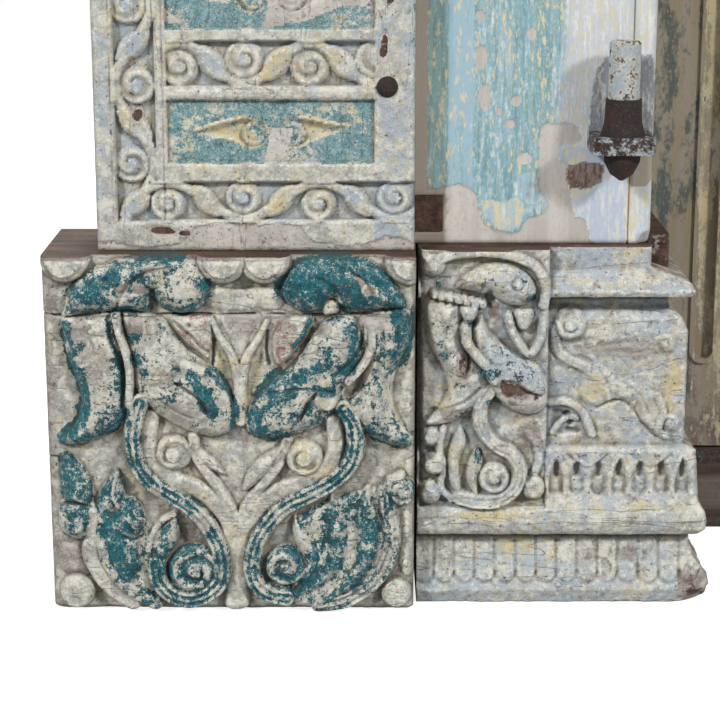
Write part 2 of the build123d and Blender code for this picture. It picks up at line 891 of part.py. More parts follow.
def pintle_plate():
    """Flat iron that carries the pin, with a tang driven into the jamb."""
    top = pintle_collar_bottom
    bottom = top - pintle_plate_thickness
    half = pintle_plate_width / 2
    tang = pintle_tang_width / 2
    front = pintle_depth - pintle_collar_flare - 1
    plate = block(pintle_x - half, pintle_x + half, front, jamb_front, bottom, top)
    plate = fillet(plate.edges().filter_by(Axis.Z).group_by(Axis.Y)[0], pintle_plate_round)
    plate += block(pintle_x - tang, pintle_x + tang, jamb_front - 1, jamb_front + pintle_tang_length, bottom, top)
    plate -= post_bar(pintle_x, pintle_depth, pintle_tenon_radius + fit_clearance, bottom - 1, top + 1)
    return plate


def pintle_finial():
    """Pointed iron nut under the plate, over the end of the pin's tenon."""
    top = pintle_collar_bottom - pintle_plate_thickness
    inner = pintle_tenon_radius + fit_clearance
    bore_end = top - pintle_finial_length / 2 - fit_clearance
    low = top - pintle_finial_length
    outline = [
        (inner, top),
        (pintle_finial_radius, top),
        (pintle_finial_radius - 1, top - pintle_finial_length / 3),
        (pintle_finial_waist, low + pintle_finial_length / 4),
        (pintle_finial_tip, low),
        (0, low),
        (0, bore_end),
        (inner, bore_end),
    ]
    return turned(pintle_x, pintle_depth, outline)


def build():
    """Make every node, with its mirror image where there is one on each side."""
    pairs = {
        "plinth_lower": plinth_lower(),
        "plinth_upper": plinth_upper(),
        "base_block": base(),
        "post": drilled_post(),
        "capital": capital(),
        "jamb": jamb(),
        "sill_cup": sill_cup(),
        "head_bush": head_bush(),
        "pintle_pin": pintle_pin(),
        "pintle_collar": pintle_collar(),
        "pintle_plate": pintle_plate(),
        "pintle_finial": pintle_finial(),
        "hanging_stile": hanging_stile(),
        "meeting_stile": meeting_stile(),
        "pivot_shoe": pivot_shoe(),
        "ring_rose": ring_rose(),
        "ring_staple": ring_staple(),
        "ring_pull": ring_pull(),
    }
    spans = rail_spans()
    for name, span in spans.items():
        pairs[name] = rail(span, name != "bottom_rail", name != "top_rail")
    for name, span in panel_spans().items():
        pairs[name] = panel(span)
    singles = {
        "lintel": lintel(),
        "head_board": head_board(),
        "cornice": cornice(),
        "sill": sill(),
        "pivot_rail": pivot_rail(),
        "frame_nails": frame_nails(),
        "jamb_pegs": jamb_pegs(),
    }
    nodes = dict(singles)
    for name, shape in pairs.items():
        nodes[name + "_right"] = shape
        nodes[name + "_left"] = mirrored(shape)
    return nodes


for node_name, node_shape in build().items():
    export_step(node_shape, f"parts/{node_name}.step")
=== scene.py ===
import bpy
import math
import numpy as np
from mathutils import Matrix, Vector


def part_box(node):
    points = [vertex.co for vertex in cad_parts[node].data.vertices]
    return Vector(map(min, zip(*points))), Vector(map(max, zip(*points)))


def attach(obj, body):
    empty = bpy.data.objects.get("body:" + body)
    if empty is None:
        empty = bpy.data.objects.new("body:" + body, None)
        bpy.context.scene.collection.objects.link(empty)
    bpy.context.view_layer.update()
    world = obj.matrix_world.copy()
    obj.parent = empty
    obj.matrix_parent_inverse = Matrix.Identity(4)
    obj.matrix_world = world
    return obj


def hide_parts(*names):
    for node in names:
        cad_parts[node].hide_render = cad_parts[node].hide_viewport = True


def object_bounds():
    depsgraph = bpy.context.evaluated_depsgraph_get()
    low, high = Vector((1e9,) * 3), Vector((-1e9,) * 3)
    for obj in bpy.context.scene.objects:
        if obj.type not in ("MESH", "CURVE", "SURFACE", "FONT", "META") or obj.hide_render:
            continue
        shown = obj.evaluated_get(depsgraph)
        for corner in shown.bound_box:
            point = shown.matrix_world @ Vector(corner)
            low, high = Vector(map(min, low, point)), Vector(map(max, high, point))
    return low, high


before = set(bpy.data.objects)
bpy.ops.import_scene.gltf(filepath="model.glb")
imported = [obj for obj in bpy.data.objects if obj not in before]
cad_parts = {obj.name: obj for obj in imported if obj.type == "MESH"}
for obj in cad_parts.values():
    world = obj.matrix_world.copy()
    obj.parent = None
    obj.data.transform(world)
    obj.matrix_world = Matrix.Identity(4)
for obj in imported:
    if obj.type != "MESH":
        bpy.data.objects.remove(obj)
cad_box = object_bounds()
MM = 0.001
LEFT = -1
RIGHT = 1
SIDE_NAMES = {LEFT: "left", RIGHT: "right"}
LOW = 0
HIGH = 1
X = 0
Y = 1
Z = 2
PAINTS = ("teal", "red", "pale", "bare", "blue")
# How far a timber's sides carry on the paint of its carved rim, in millimetres
RIM_BAND = 1.5
# The hollow share of level ground, between a ridge's 0 and a crevice's 1
OPEN_GROUND = 0.5
COARSER = 1
# Where the foremost carving lies in depth, in millimetres
FRONT_Y = cad_box[LOW][Y] / MM


def box_face(node, end, axis):
    """Where one face of a CAD node's box lies, in millimetres."""
    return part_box(node)[end][axis] / MM


# Small tools for fields on a grid. Lengths are in millimetres here.


def smooth_path(points, closed=False, steps=6):
    """A path through the points: each span is the Catmull-Rom cubic of its four nearest points."""
    given = np.array(points, dtype=float)
    if closed:
        held = np.vstack([given[-1], given, given[0], given[1]])
    else:
        held = np.vstack([2 * given[0] - given[1], given, 2 * given[-1] - given[-2]])
    share = np.linspace(0, 1, steps, endpoint=False)[:, None]
    spans = []
    for index in range(len(held) - 3):
        before, start, end, after = held[index:index + 4]
        spans.append(0.5 * (2 * start + (end - before) * share
                            + (2 * before - 5 * start + 4 * end - after) * share**2
                            + (3 * start - before - 3 * end + after) * share**3))
    path = np.vstack(spans)
    if closed:
        return np.vstack([path, path[:1]])
    return np.vstack([path, given[-1]])


def path_distance(path, u, v):
    """Distance to the nearest point of a path, and the share of its length that lies before it."""
    nearest = np.full(u.shape, 1e9)
    share = np.zeros(u.shape)
    steps = np.hypot(*np.diff(path, axis=0).T)
    reached = np.concatenate([[0], np.cumsum(steps)])
    for index, length in enumerate(steps):
        if length < 1e-9:
            continue
        start = path[index]
        run = (path[index + 1] - start) / length
        along = np.clip((u - start[0]) * run[0] + (v - start[1]) * run[1], 0, length)
        gap = np.hypot(u - start[0] - along * run[0], v - start[1] - along * run[1])
        closer = gap < nearest
        nearest = np.where(closer, gap, nearest)
        share = np.where(closer, (reached[index] + along) / reached[-1], share)
    return nearest, share


def inside_distance(path, u, v):
    """Distance to a closed path, positive inside it by the even-odd rule."""
    gap = path_distance(path, u, v)[0]
    crossings = np.zeros(u.shape, dtype=bool)
    for start, end in zip(path[:-1], path[1:]):
        if start[1] == end[1]:
            continue
        between = (start[1] > v) != (end[1] > v)
        meets = start[0] + (v - start[1]) * (end[0] - start[0]) / (end[1] - start[1])
        crossings ^= between & (u < meets)
    return np.where(crossings, gap, -gap)


def rough(u, v, size, seed):
    """Value noise from 0 to 1: seeded random numbers on a lattice, blended smoothly between its knots."""
    knots = np.random.default_rng(seed).random((257, 257))
    column = u / size + 11.3 + seed
    row = v / size + 7.7 + seed
    left = np.floor(column).astype(int)
    low = np.floor(row).astype(int)
    across = column - left
    up = row - low
    across = across * across * (3 - 2 * across)
    up = up * up * (3 - 2 * up)
    left %= 256
    low %= 256
    lower = knots[low, left] * (1 - across) + knots[low, left + 1] * across
    upper = knots[low + 1, left] * (1 - across) + knots[low + 1, left + 1] * across
    return lower * (1 - up) + upper * up


def eased(values, low, high):
    """0 below low, 1 above high and a smooth step between."""
    share = np.clip((values - low) / (high - low), 0, 1)
    return share * share * (3 - 2 * share)


def rounded(share):
    """A quarter-circle rise: steep at 0 and level at 1."""
    share = np.clip(share, 0, 1)
    return np.sqrt(1 - (1 - share) ** 2)


def tapered(half_width, taper, share):
    """A half width along a path, from its share at the start to its share at the end."""
    return np.maximum(half_width * (taper[0] + (taper[1] - taper[0]) * share), 0.1)


def oval(centre, across, up, turns):
    """Points on an oval at the given turns, in radians."""
    return [(centre[0] + across * math.cos(turn), centre[1] + up * math.sin(turn)) for turn in turns]


class Carving:
    """Heights over a timber's ground, and how much of each paint lies there."""

    def __init__(self, u, v):
        self.u = u
        self.v = v
        self.height = np.zeros(u.shape)
        for paint in PAINTS:
            setattr(self, paint, np.zeros(u.shape))

    def near(self, path, margin):
        """The grid points within a margin of the path's box."""
        low = path.min(axis=0) - margin
        high = path.max(axis=0) + margin
        return (self.u >= low[0]) & (self.u <= high[0]) & (self.v >= low[1]) & (self.v <= high[1])

    def lay(self, window, where, **layers):
        """Set layers where asked. One that is given as None stays as it is."""
        for layer, value in layers.items():
            if value is not None:
                field = getattr(self, layer)
                field[window] = np.where(where, value, field[window])

    def blend(self, window, share, **layers):
        """Move layers a share of the way to new values."""
        for layer, value in layers.items():
            field = getattr(self, layer)
            field[window] += (value - field[window]) * share

    def settle(self, window, raised, height, teal=0.0, red=0.0, pale=0.0, bare=0.0):
        """Keep the higher of what is there and the new form, and give the new form its paint."""
        wins = raised & (height > self.height[window])
        self.lay(window, wins, height=height, teal=teal, red=red, pale=pale, bare=bare)

    def pillow(self, points, height, edge=8, **paints):
        """A closed outline swelled up: a quarter-circle rise over its edge, then level."""
        path = smooth_path(points, closed=True)
        window = self.near(path, 1)
        inside = inside_distance(path, self.u[window], self.v[window])
        self.settle(window, inside > 0, height * rounded(inside / edge), **paints)

    def stroke(self, points, half_width, height, teal=0.0, ribs=0, rib_depth=2.5, groove_teal=None,
               taper=(1, 1), **paints):
        """A path swelled up to a half-round bar. Ribs is the number of grooves on each side of its middle."""
        path = smooth_path(points)
        window = self.near(path, half_width + 1)
        gap, share = path_distance(path, self.u[window], self.v[window])
        across = gap / tapered(half_width, taper, share)
        rise = height * rounded((1 - across) * 2.2)
        if ribs:
            wave = np.cos(math.pi * (across * (ribs + 0.5) - 0.5)) ** 2
            rise = rise - rib_depth * wave * (across < 1)
            if groove_teal is not None:
                teal = np.where(wave > 0.5, groove_teal, teal)
        self.settle(window, across < 1, rise, teal=teal, **paints)

    def cut(self, points, half_width, depth, closed=False, teal=None, taper=(1, 1)):
        """A path sunk as a rounded groove."""
        path = smooth_path(points, closed=closed)
        window = self.near(path, half_width + 1)
        gap, share = path_distance(path, self.u[window], self.v[window])
        groove = np.clip(1 - (gap / tapered(half_width, taper, share)) ** 2, 0, 1)
        self.height[window] -= depth * groove
        self.lay(window, groove > 0.2, teal=teal)

    def sink(self, points, depth, edge=4, **paints):
        """A closed outline sunk: the ground falls over its edge, then lies level."""
        path = smooth_path(points, closed=True)
        window = self.near(path, 1)
        inside = inside_distance(path, self.u[window], self.v[window])
        self.height[window] -= depth * eased(inside, 0, edge)
        self.lay(window, inside > 0, **paints)

    def volute(self, centre, radius, height, pitch, turn=1, start=0.0, boss=5.0, groove=3.0, teal=0.0,
               groove_teal=None, **paints):
        """A round scroll: rings of a spiral whose radius grows by one pitch a turn, around a round boss."""
        window = self.near(np.array([centre, centre]) + [[-radius], [radius]], 1)
        east = self.u[window] - centre[0]
        north = self.v[window] - centre[1]
        away = np.hypot(east, north)
        angle = turn * np.arctan2(north, east) / (2 * math.pi) + start
        ring = 0.5 - 0.5 * np.cos(2 * math.pi * ((away / pitch - angle) % 1.0))
        ring = np.where(away < boss, 1, ring)
        rise = height * rounded((radius - away) / 5) - groove * (1 - ring) + 2.0 * (away < boss)
        if groove_teal is not None:
            teal = np.where(ring < 0.5, groove_teal, teal)
        self.settle(window, away < radius, rise, teal=teal, **paints)

    def patch(self, points, step=0.0, **layers):
        """A flat area with a crisp edge: its paint amounts, and how far it lies below the paint around it."""
        path = smooth_path(points, closed=True, steps=4)
        window = self.near(path, 3)
        u = self.u[window]
        v = self.v[window]
        jag = 3.2 * (rough(u, v, 6, 71) - 0.5) + 1.6 * (rough(u, v, 2.5, 72) - 0.5)
        share = np.clip((inside_distance(path, u, v) + jag) / 0.8 + 0.5, 0, 1)
        self.height[window] -= step * share
        self.blend(window, share, **layers)

    def brush(self, points, half_width, amount):
        """Teal left along a path: fullest at its middle, thinning out past its edges."""
        path = smooth_path(points)
        window = self.near(path, 2 * half_width)
        u = self.u[window]
        v = self.v[window]
        across = path_distance(path, u, v)[0] / half_width + 0.7 * (rough(u, v, 7, 75) - 0.5)
        share = (1 - eased(across, 0.45, 1.5)) * (0.72 + 0.4 * rough(u, v, 13, 76))
        self.teal[window] = np.maximum(self.teal[window], amount * share)

    def dab(self, centre, radii, **paints):
        """An oval patch of paint or bare timber with a soft uneven edge."""
        away = np.hypot((self.u - centre[0]) / radii[0], (self.v - centre[1]) / radii[1])
        uneven = away + 0.6 * (rough(self.u, self.v, 7, 91) - 0.5)
        self.blend(..., 1 - eased(uneven, 0.55, 1.35), **paints)

    def dabs(self, ovals, **paints):
        """The same paint dabbed on several ovals, each given by its centre and radii."""
        for centre, radii in ovals:
            self.dab(centre, radii, **paints)


def blurred(field, reach):
    """A running mean over a square, from sums along one axis and then the other."""
    span = 2 * reach + 1
    means = np.pad(field, reach, mode="edge")
    for _ in range(2):
        total = np.insert(np.cumsum(means, axis=0), 0, 0, axis=0)
        means = ((total[span:] - total[:-span]) / span).T
    return means


def hollows(depth, step):
    """How far each point lies below its neighbourhood: 0 on a ridge, 0.5 on open ground, 1 in a crevice."""
    near = blurred(depth, max(1, round(2.5 / step)))
    wide = blurred(depth, max(1, round(8 / step)))
    return np.clip(0.5 + (depth - near) / 5 + (depth - wide) / 14, 0, 1)


def grid_faces(rows, columns, flip):
    """Quads between neighbouring points of a grid, wound the other way round where flip is set."""
    index = np.arange(rows * columns).reshape(rows, columns)
    quads = np.stack([index[:-1, :-1], index[:-1, 1:], index[1:, 1:], index[1:, :-1]], axis=-1).reshape(-1, 4)
    if flip:
        quads = quads[:, ::-1]
    return quads


def rim_order(rows, columns):
    """The grid's border points, once around."""
    index = np.arange(rows * columns).reshape(rows, columns)
    return np.concatenate([index[0, :-1], index[:-1, -1], index[-1, :0:-1], index[:0:-1, 0]])


def add_mesh(name, points, faces, layers, material, smooth_count):
    """One object at the origin from points in metres; the first faces are smooth and the rest are flat."""
    mesh = bpy.data.meshes.new(name)
    mesh.from_pydata(points.tolist(), [], [list(map(int, face)) for face in faces])
    for layer, values in layers.items():
        attribute = mesh.attributes.new(layer, "FLOAT_COLOR", "POINT")
        attribute.data.foreach_set("color", np.ascontiguousarray(values, dtype=np.float32).ravel())
    smooth = np.arange(len(mesh.polygons)) < smooth_count
    mesh.polygons.foreach_set("use_smooth", smooth)
    mesh.materials.append(material)
    mesh.update()
    made = bpy.data.objects.new(name, mesh)
    bpy.context.scene.collection.objects.link(made)
    return made


def paint_layers(carving, depth, shape, step):
    """Two colours a point: teal, red and pale shares, then bare timber, hollow and blue shares."""
    hollow = hollows(depth.reshape(shape), step).ravel()
    solid = np.ones(depth.size)
    paint = np.stack([carving.teal.ravel(), carving.red.ravel(), carving.pale.ravel(), solid], axis=1)
    wear = np.stack([carving.bare.ravel(), hollow, carving.blue.ravel(), solid], axis=1)
    return {"paint": paint, "wear": wear}


def closed_timber(name, points, shape, layers, behind, material, mirrored, side_bare):
    """Close a carved sheet of points: a narrow band at its rim, plain sides to the back, and the back."""
    rows, columns = shape
    rim = rim_order(rows, columns)
    inwards = behind - points[rim]
    near = points[rim] + inwards * (RIM_BAND / np.linalg.norm(inwards, axis=1))[:, None]
    together = np.vstack([points, near, behind]) * MM
    faces = grid_faces(rows, columns, mirrored).tolist()
    smooth_count = len(faces)
    count = len(rim)
    rings = [rim, rows * columns + np.arange(count), rows * columns + count + np.arange(count)]
    for first, second in zip(rings[:-1], rings[1:]):
        for place in range(count):
            following = (place + 1) % count
            quad = [first[place], second[place], second[following], first[following]]
            faces.append(quad[::-1] if mirrored else quad)
    last = rings[2].tolist()
    faces.append(last if mirrored else last[::-1])
    filled = {}
    for layer, values in layers.items():
        edge = values[rim].copy()
        plain = np.tile((0.0, 0.0, 0.0, 1.0), (count, 1))
        if layer == "wear":
            edge[:, 0] = side_bare
            plain[:, 0] = side_bare
            plain[:, 1] = OPEN_GROUND
        filled[layer] = np.vstack([values, edge, plain])
    return add_mesh(name, together, faces, filled, material, smooth_count)


def carved_timber(name, side, outer, u, v, depth, back, layers, material, side_bare):
    """A carved front worked out as depth over the face, closed by plain sides and a plain back."""
    x = side * (outer - u.ravel())
    front = np.stack([x, FRONT_Y + depth.ravel(), v.ravel()], axis=1)
    behind = front[rim_order(*u.shape)].copy()
    behind[:, 1] = FRONT_Y + back
    return closed_timber(name, front, u.shape, layers, behind, material, side == RIGHT, side_bare)


# Materials


SPECULAR = 0.3


def tone(red, green, blue):
    """A colour as the screen shows it, turned into linear light."""
    values = np.array([red, green, blue], dtype=float)
    linear = np.where(values <= 0.04045, values / 12.92, ((values + 0.055) / 1.055) ** 2.4)
    return (float(linear[0]), float(linear[1]), float(linear[2]), 1.0)


CREAM = tone(0.82, 0.81, 0.76)
GREY_CREAM = tone(0.66, 0.66, 0.63)
# Cream dulled as painted shade, for the head and capitals, which get stronger light
HEAD_SHADE_CREAM = tone(0.58, 0.56, 0.51)
DULL_BLUE = tone(0.54, 0.58, 0.61)
WHITE_PAINT = tone(0.89, 0.88, 0.84)
OCHRE = tone(0.78, 0.73, 0.58)
BLUE_GREY = tone(0.65, 0.69, 0.72)
LIGHT_BLUE = tone(0.61, 0.72, 0.77)
LAVENDER = tone(0.71, 0.75, 0.81)
STRAW = tone(0.83, 0.79, 0.65)
TAUPE = tone(0.62, 0.58, 0.52)
OLIVE = tone(0.59, 0.54, 0.43)
SLATE = tone(0.25, 0.33, 0.33)
PINK_BROWN = tone(0.52, 0.41, 0.37)
PRIMER = tone(0.71, 0.69, 0.66)
GREY_BROWN = tone(0.53, 0.49, 0.46)
TEAL_DEEP = tone(0.01, 0.24, 0.28)
TEAL_MID = tone(0.06, 0.38, 0.42)
TEAL_LIGHT = tone(0.30, 0.55, 0.58)
TEAL_PALE = tone(0.50, 0.68, 0.71)
TEAL_WORN = tone(0.28, 0.48, 0.51)
TEAL_SOFT = tone(0.45, 0.61, 0.66)
ROSE = tone(0.56, 0.33, 0.33)
# Painted shade with some grime: the dark olive laid into the hollows of the carving and the jamb
CREVICE_SHADE_AND_GRIME = tone(0.30, 0.25, 0.17)
BARE_WOOD = tone(0.38, 0.29, 0.25)
DARK_WOOD = tone(0.24, 0.17, 0.14)
RUST = tone(0.24, 0.15, 0.12)
RUST_PALE = tone(0.44, 0.30, 0.22)
PRIMER_LIGHT = tone(0.78, 0.76, 0.73)
TEAL_DULL = tone(0.37, 0.53, 0.54)
LAVENDER_DULL = tone(0.54, 0.56, 0.59)
IRON = tone(0.13, 0.11, 0.11)


class Signal:
    """A socket in a node tree that adds, multiplies and compares as a number does."""

    def __init__(self, finish, socket):
        self.finish = finish
        self.socket = socket

    def combine(self, operation, first, second):
        """The node that joins two signals or numbers."""
        return self.finish.node("ShaderNodeMath", {"operation": operation}, {0: first, 1: second})

    def __add__(self, other):
        return self.combine("ADD", self, other)

    def __radd__(self, other):
        return self.combine("ADD", other, self)

    def __sub__(self, other):
        return self.combine("SUBTRACT", self, other)

    def __rsub__(self, other):
        return self.combine("SUBTRACT", other, self)

    def __mul__(self, other):
        return self.combine("MULTIPLY", self, other)

    def step(self, low, high):
        """0 at low, 1 at high and a straight ramp between, level beyond. High may be the smaller number."""
        values = {"Value": self, "From Min": low, "From Max": high, "To Min": 0.0, "To Max": 1.0}
        return self.finish.node("ShaderNodeMapRange", {"clamp": True}, values)


class Finish:
    """One material, built up as expressions that end in its shader's sockets."""

    def __init__(self, name):
        self.material = bpy.data.materials.new(name)
        self.material.use_nodes = True
        self.tree = self.material.node_tree
        self.shader = self.tree.nodes["Principled BSDF"]
        self.place = self.node("ShaderNodeTexCoord", {}, {}, output="Object")

    def node(self, kind, settings, values, output=0):
        """Any node: its settings first, then the values or links of its sockets."""
        made = self.tree.nodes.new(kind)
        for key, value in settings.items():
            setattr(made, key, value)
        for key, value in values.items():
            if isinstance(value, Signal):
                self.tree.links.new(value.socket, made.inputs[key])
            else:
                made.inputs[key].default_value = value
        return Signal(self, made.outputs[output])

    def stretched(self, scale, shift):
        """The object's own coordinates, stretched and moved."""
        return self.node("ShaderNodeMapping", {}, {"Vector": self.place, "Scale": scale, "Location": shift})

    def noise(self, scale, detail, roughness=0.55, stretch=(1, 1, 1), shift=(0, 0, 0), warp=0.0):
        """Noise spread out to about 0 to 1."""
        values = {"Vector": self.stretched(stretch, shift), "Scale": scale, "Detail": detail,
                  "Roughness": roughness, "Distortion": warp}
        raw = self.node("ShaderNodeTexNoise", {"noise_dimensions": "3D"}, values)
        return (raw - 0.5) * 2.2 + 0.5

    def cells(self, scale):
        """Distance to the nearest of many scattered points."""
        values = {"Vector": self.place, "Scale": scale, "Randomness": 1.0}
        return self.node("ShaderNodeTexVoronoi", {"feature": "F1"}, values)

    def mix(self, share, first, second):
        """A colour between two colours."""
        return self.node("ShaderNodeMix", {"data_type": "RGBA"}, {0: share, 6: first, 7: second}, output=2)

    def axis(self, letter):
        """One of the object's own coordinates, in metres."""
        return self.node("ShaderNodeSeparateXYZ", {}, {0: self.place}, output="XYZ".index(letter))

    def from_middle(self):
        """Distance from the doorway's middle plane, in metres."""
        return self.node("ShaderNodeMath", {"operation": "ABSOLUTE"}, {0: self.axis("X")})

    def amounts(self, layer):
        """The three paint amounts of a colour layer stored on a carved piece's points."""
        colour = self.node("ShaderNodeAttribute", {"attribute_name": layer}, {}, output="Color")
        return [self.node("ShaderNodeSeparateColor", {}, {0: colour}, output=channel) for channel in range(3)]

    def finish_with(self, colour, roughness, bump_height, bump_distance):
        """The material, with its colour, roughness and bump joined to the shader."""
        values = {"Height": bump_height, "Distance": bump_distance, "Strength": 1.0}
        bump = self.node("ShaderNodeBump", {}, values)
        for socket, signal in (("Base Color", colour), ("Roughness", roughness), ("Normal", bump)):
            self.tree.links.new(signal.socket, self.shader.inputs[socket])
        self.shader.inputs["Specular IOR Level"].default_value = SPECULAR
        return self.material


def spread(pattern, gain):
    """The same pattern with its lights and darks drawn further apart."""
    return (pattern - 0.5) * gain + 0.5


def flaked(amount, pattern, sharp):
    """1 where an amount of paint from 0 to 1 beats the pattern of its flaking."""
    return ((amount - pattern) * sharp + 0.5).step(0.0, 1.0)


def carved_paint(name, blue_share, ochre_share, primer_share, grain,
                 teals=(TEAL_DEEP, TEAL_MID, TEAL_LIGHT), primers=(PRIMER, GREY_BROWN)):
    """Flaking coats over carved timber: wood, grey primer, cream, blue-grey and ochre, then teal and red,
    with painted shade and some grime in the crevices, and ridges whitened partly as a painted highlight.
    """
    finish = Finish(name)
    broad = finish.noise(16, 4)
    middle = finish.noise(62, 6, 0.7)
    fine = finish.noise(230, 4, 0.75)
    second = finish.noise(200, 4, 0.75, shift=(5.6, 0.9, 3.3))
    tiny = finish.noise(700, 2, 0.7)
    fibres = finish.noise(70, 5, 0.65, stretch=grain)
    flake = middle * 0.5 + fine * 0.35 + fibres * 0.15
    other = finish.noise(34, 7, 0.72, shift=(3.1, 1.7, 5.2))
    third = finish.noise(44, 7, 0.74, shift=(7.4, 4.2, 1.3))
    grime = finish.noise(85, 6, 0.75, shift=(1.3, 8.4, 2.6))
    teal, red, pale = finish.amounts("paint")
    bare, hollow, blue = finish.amounts("wear")
    # Ridges are kept whiter: more white flakes and less primer showing, partly as chalky wear and partly as a
    # painted highlight; teal is also scuffed off them
    ridge = hollow.step(0.46, 0.30)
    crevice = hollow.step(0.53, 0.95)
    under = finish.mix(fibres.step(0.35, 0.7), primers[0], primers[1])
    under = finish.mix((fine * 0.6 + tiny * 0.4).step(0.68, 0.78), under, BARE_WOOD)
    coat = finish.mix(grime.step(0.36, 0.64), GREY_CREAM, CREAM)
    ochre_pattern = spread(third * 0.5 + second * 0.3 + tiny * 0.2, 1.4)
    coat = finish.mix(flaked(ochre_share + pale, ochre_pattern, 5.0), coat, OCHRE)
    blue_pattern = spread(other * 0.5 + fine * 0.3 + tiny * 0.2, 1.4)
    coat = finish.mix(flaked(blue_share + broad * 0.2 + blue - 0.1, blue_pattern, 5.0), coat, BLUE_GREY)
    # White flakes all over, with more on the ridges, partly as a painted highlight
    coat = finish.mix(flaked(0.28 + ridge * 0.16, fine * 0.6 + tiny * 0.4, 6.0), coat, WHITE_PAINT)
    coat = finish.mix(flaked(0.30, grime * 0.3 + tiny * 0.7, 6.0) * 0.7, coat, GREY_BROWN)
    brown = finish.mix(fibres.step(0.3, 0.75), DARK_WOOD, BARE_WOOD)
    under = finish.mix(flaked(bare * 1.6 - 0.55, flake, 8.0), under, brown)
    worn = flaked(primer_share + bare - ridge * 0.08, flake, 6.0)
    colour = finish.mix(worn, coat, under)
    bright = finish.mix((fine * 0.6 + middle * 0.4).step(0.36, 0.64), teals[0], teals[1])
    bright = finish.mix(tiny.step(0.52, 0.75) * 0.5, bright, teals[2])
    speckle = spread(middle * 0.5 + fine * 0.34 + tiny * 0.16, 2.0)
    scuffs = flaked(0.28 + ridge * 0.1, second * 0.55 + tiny * 0.45, 7.0)
    teal_here = flaked(teal * 1.14, speckle, 8.0) * (1 - scuffs * 0.8)
    colour = finish.mix(teal_here, colour, bright)
    colour = finish.mix(flaked(red, speckle, 8.0) * 0.75, colour, ROSE)
    specks = finish.cells(150).step(0.18, 0.1) * fine.step(0.45, 0.6)
    colour = finish.mix(specks * 0.75, colour, DARK_WOOD)
    checks = finish.noise(26, 3, 0.5, stretch=grain, warp=0.4)
    hairline = 1 - ((checks - 0.5) * (checks - 0.5)).step(0.0, 0.00025)
    colour = finish.mix(hairline * middle.step(0.5, 0.62) * 0.5, colour, DARK_WOOD)
    # Painted shade with some grime darkens the deeper hollows of the carving
    colour = finish.mix(crevice * (0.3 + other * 0.5), colour, CREVICE_SHADE_AND_GRIME)
    height = (worn * -0.5 + teal_here * 0.12 + fine * 0.45 + middle * 0.4 + fibres * 0.25
              + tiny * 0.15 - specks * 0.5 - hairline * 0.4)
    return finish.finish_with(colour, 0.62 + fine * 0.2, height, 0.0014)


def streaked_paint(name):
    """The jamb's brushed coats: cream, then pale blue, teal and straw streaks, over smooth grey primer, with
    painted shade in its hollows and a dark share that is partly painted shadow.
    """
    finish = Finish(name)
    upright = (1, 1, 0.08)
    long_streak = finish.noise(200, 8, 0.7, stretch=upright)
    second_streak = finish.noise(230, 8, 0.7, stretch=upright, shift=(4.1, 2.2, 0.7))
    fleck = finish.noise(240, 5, 0.65, stretch=(1, 1, 0.3))
    fine = finish.noise(420, 4, 0.7, stretch=(1, 1, 0.5))
    broad = finish.noise(14, 3)
    # The dark share dulls the coats and browns the primer; it is laid partly as painted shadow where the post
    # and the pintle cast theirs
    teal, dark, straw = finish.amounts("paint")
    primer, hollow, blue = finish.amounts("wear")
    # The blue turns to lavender between these distances from the doorway's middle plane, in metres
    inward = finish.from_middle().step(0.53, 0.50)
    coat = finish.mix(long_streak.step(0.2, 0.8), CREAM, WHITE_PAINT)
    blues = finish.mix(dark.step(0.15, 0.3), finish.mix(inward, LIGHT_BLUE, LAVENDER), LAVENDER_DULL)
    coat = finish.mix(flaked(blue, second_streak * 0.45 + fleck * 0.3 + fine * 0.25, 4.0), coat, blues)
    coat = finish.mix(flaked(teal, long_streak * 0.42 + fleck * 0.33 + fine * 0.25, 4.0) * 0.85, coat,
                      finish.mix(second_streak.step(0.3, 0.8), TEAL_DULL, TEAL_PALE))
    coat = finish.mix(flaked(straw, fleck * 0.55 + second_streak * 0.25 + fine * 0.2, 7.0), coat, STRAW)
    ground = finish.mix(fibre_share(finish), PRIMER_LIGHT, PRIMER)
    ground = finish.mix(fine.step(0.62, 0.8) * 0.4, ground, TAUPE)
    ground = finish.mix(dark.step(0.1, 0.25) * 0.85, ground, TAUPE)
    chips = flaked(primer * 1.3 - 0.12 + broad * 0.05, fleck * 0.5 + fine * 0.5, 12.0)
    colour = finish.mix(chips, coat, ground)
    brown = finish.mix(fleck.step(0.4, 0.65), GREY_BROWN, BARE_WOOD)
    colour = finish.mix(flaked(dark * 1.4 - 0.4, fine * 0.5 + fleck * 0.5, 6.0), colour, brown)
    # Painted shade with some grime in the bead line and the other hollows
    colour = finish.mix(hollow.step(0.55, 0.9) * 0.7, colour, CREVICE_SHADE_AND_GRIME)
    height = (1 - chips) * 0.5 + long_streak * 0.16 + fleck * 0.18 + fine * 0.2
    return finish.finish_with(colour, 0.6 + fine * 0.15, height, 0.0007)


def fibre_share(finish):
    """Upright fibres of the primer's timber."""
    return finish.noise(60, 6, 0.6, stretch=(1, 1, 0.06), shift=(1.7, 0.4, 2.9)).step(0.3, 0.75)


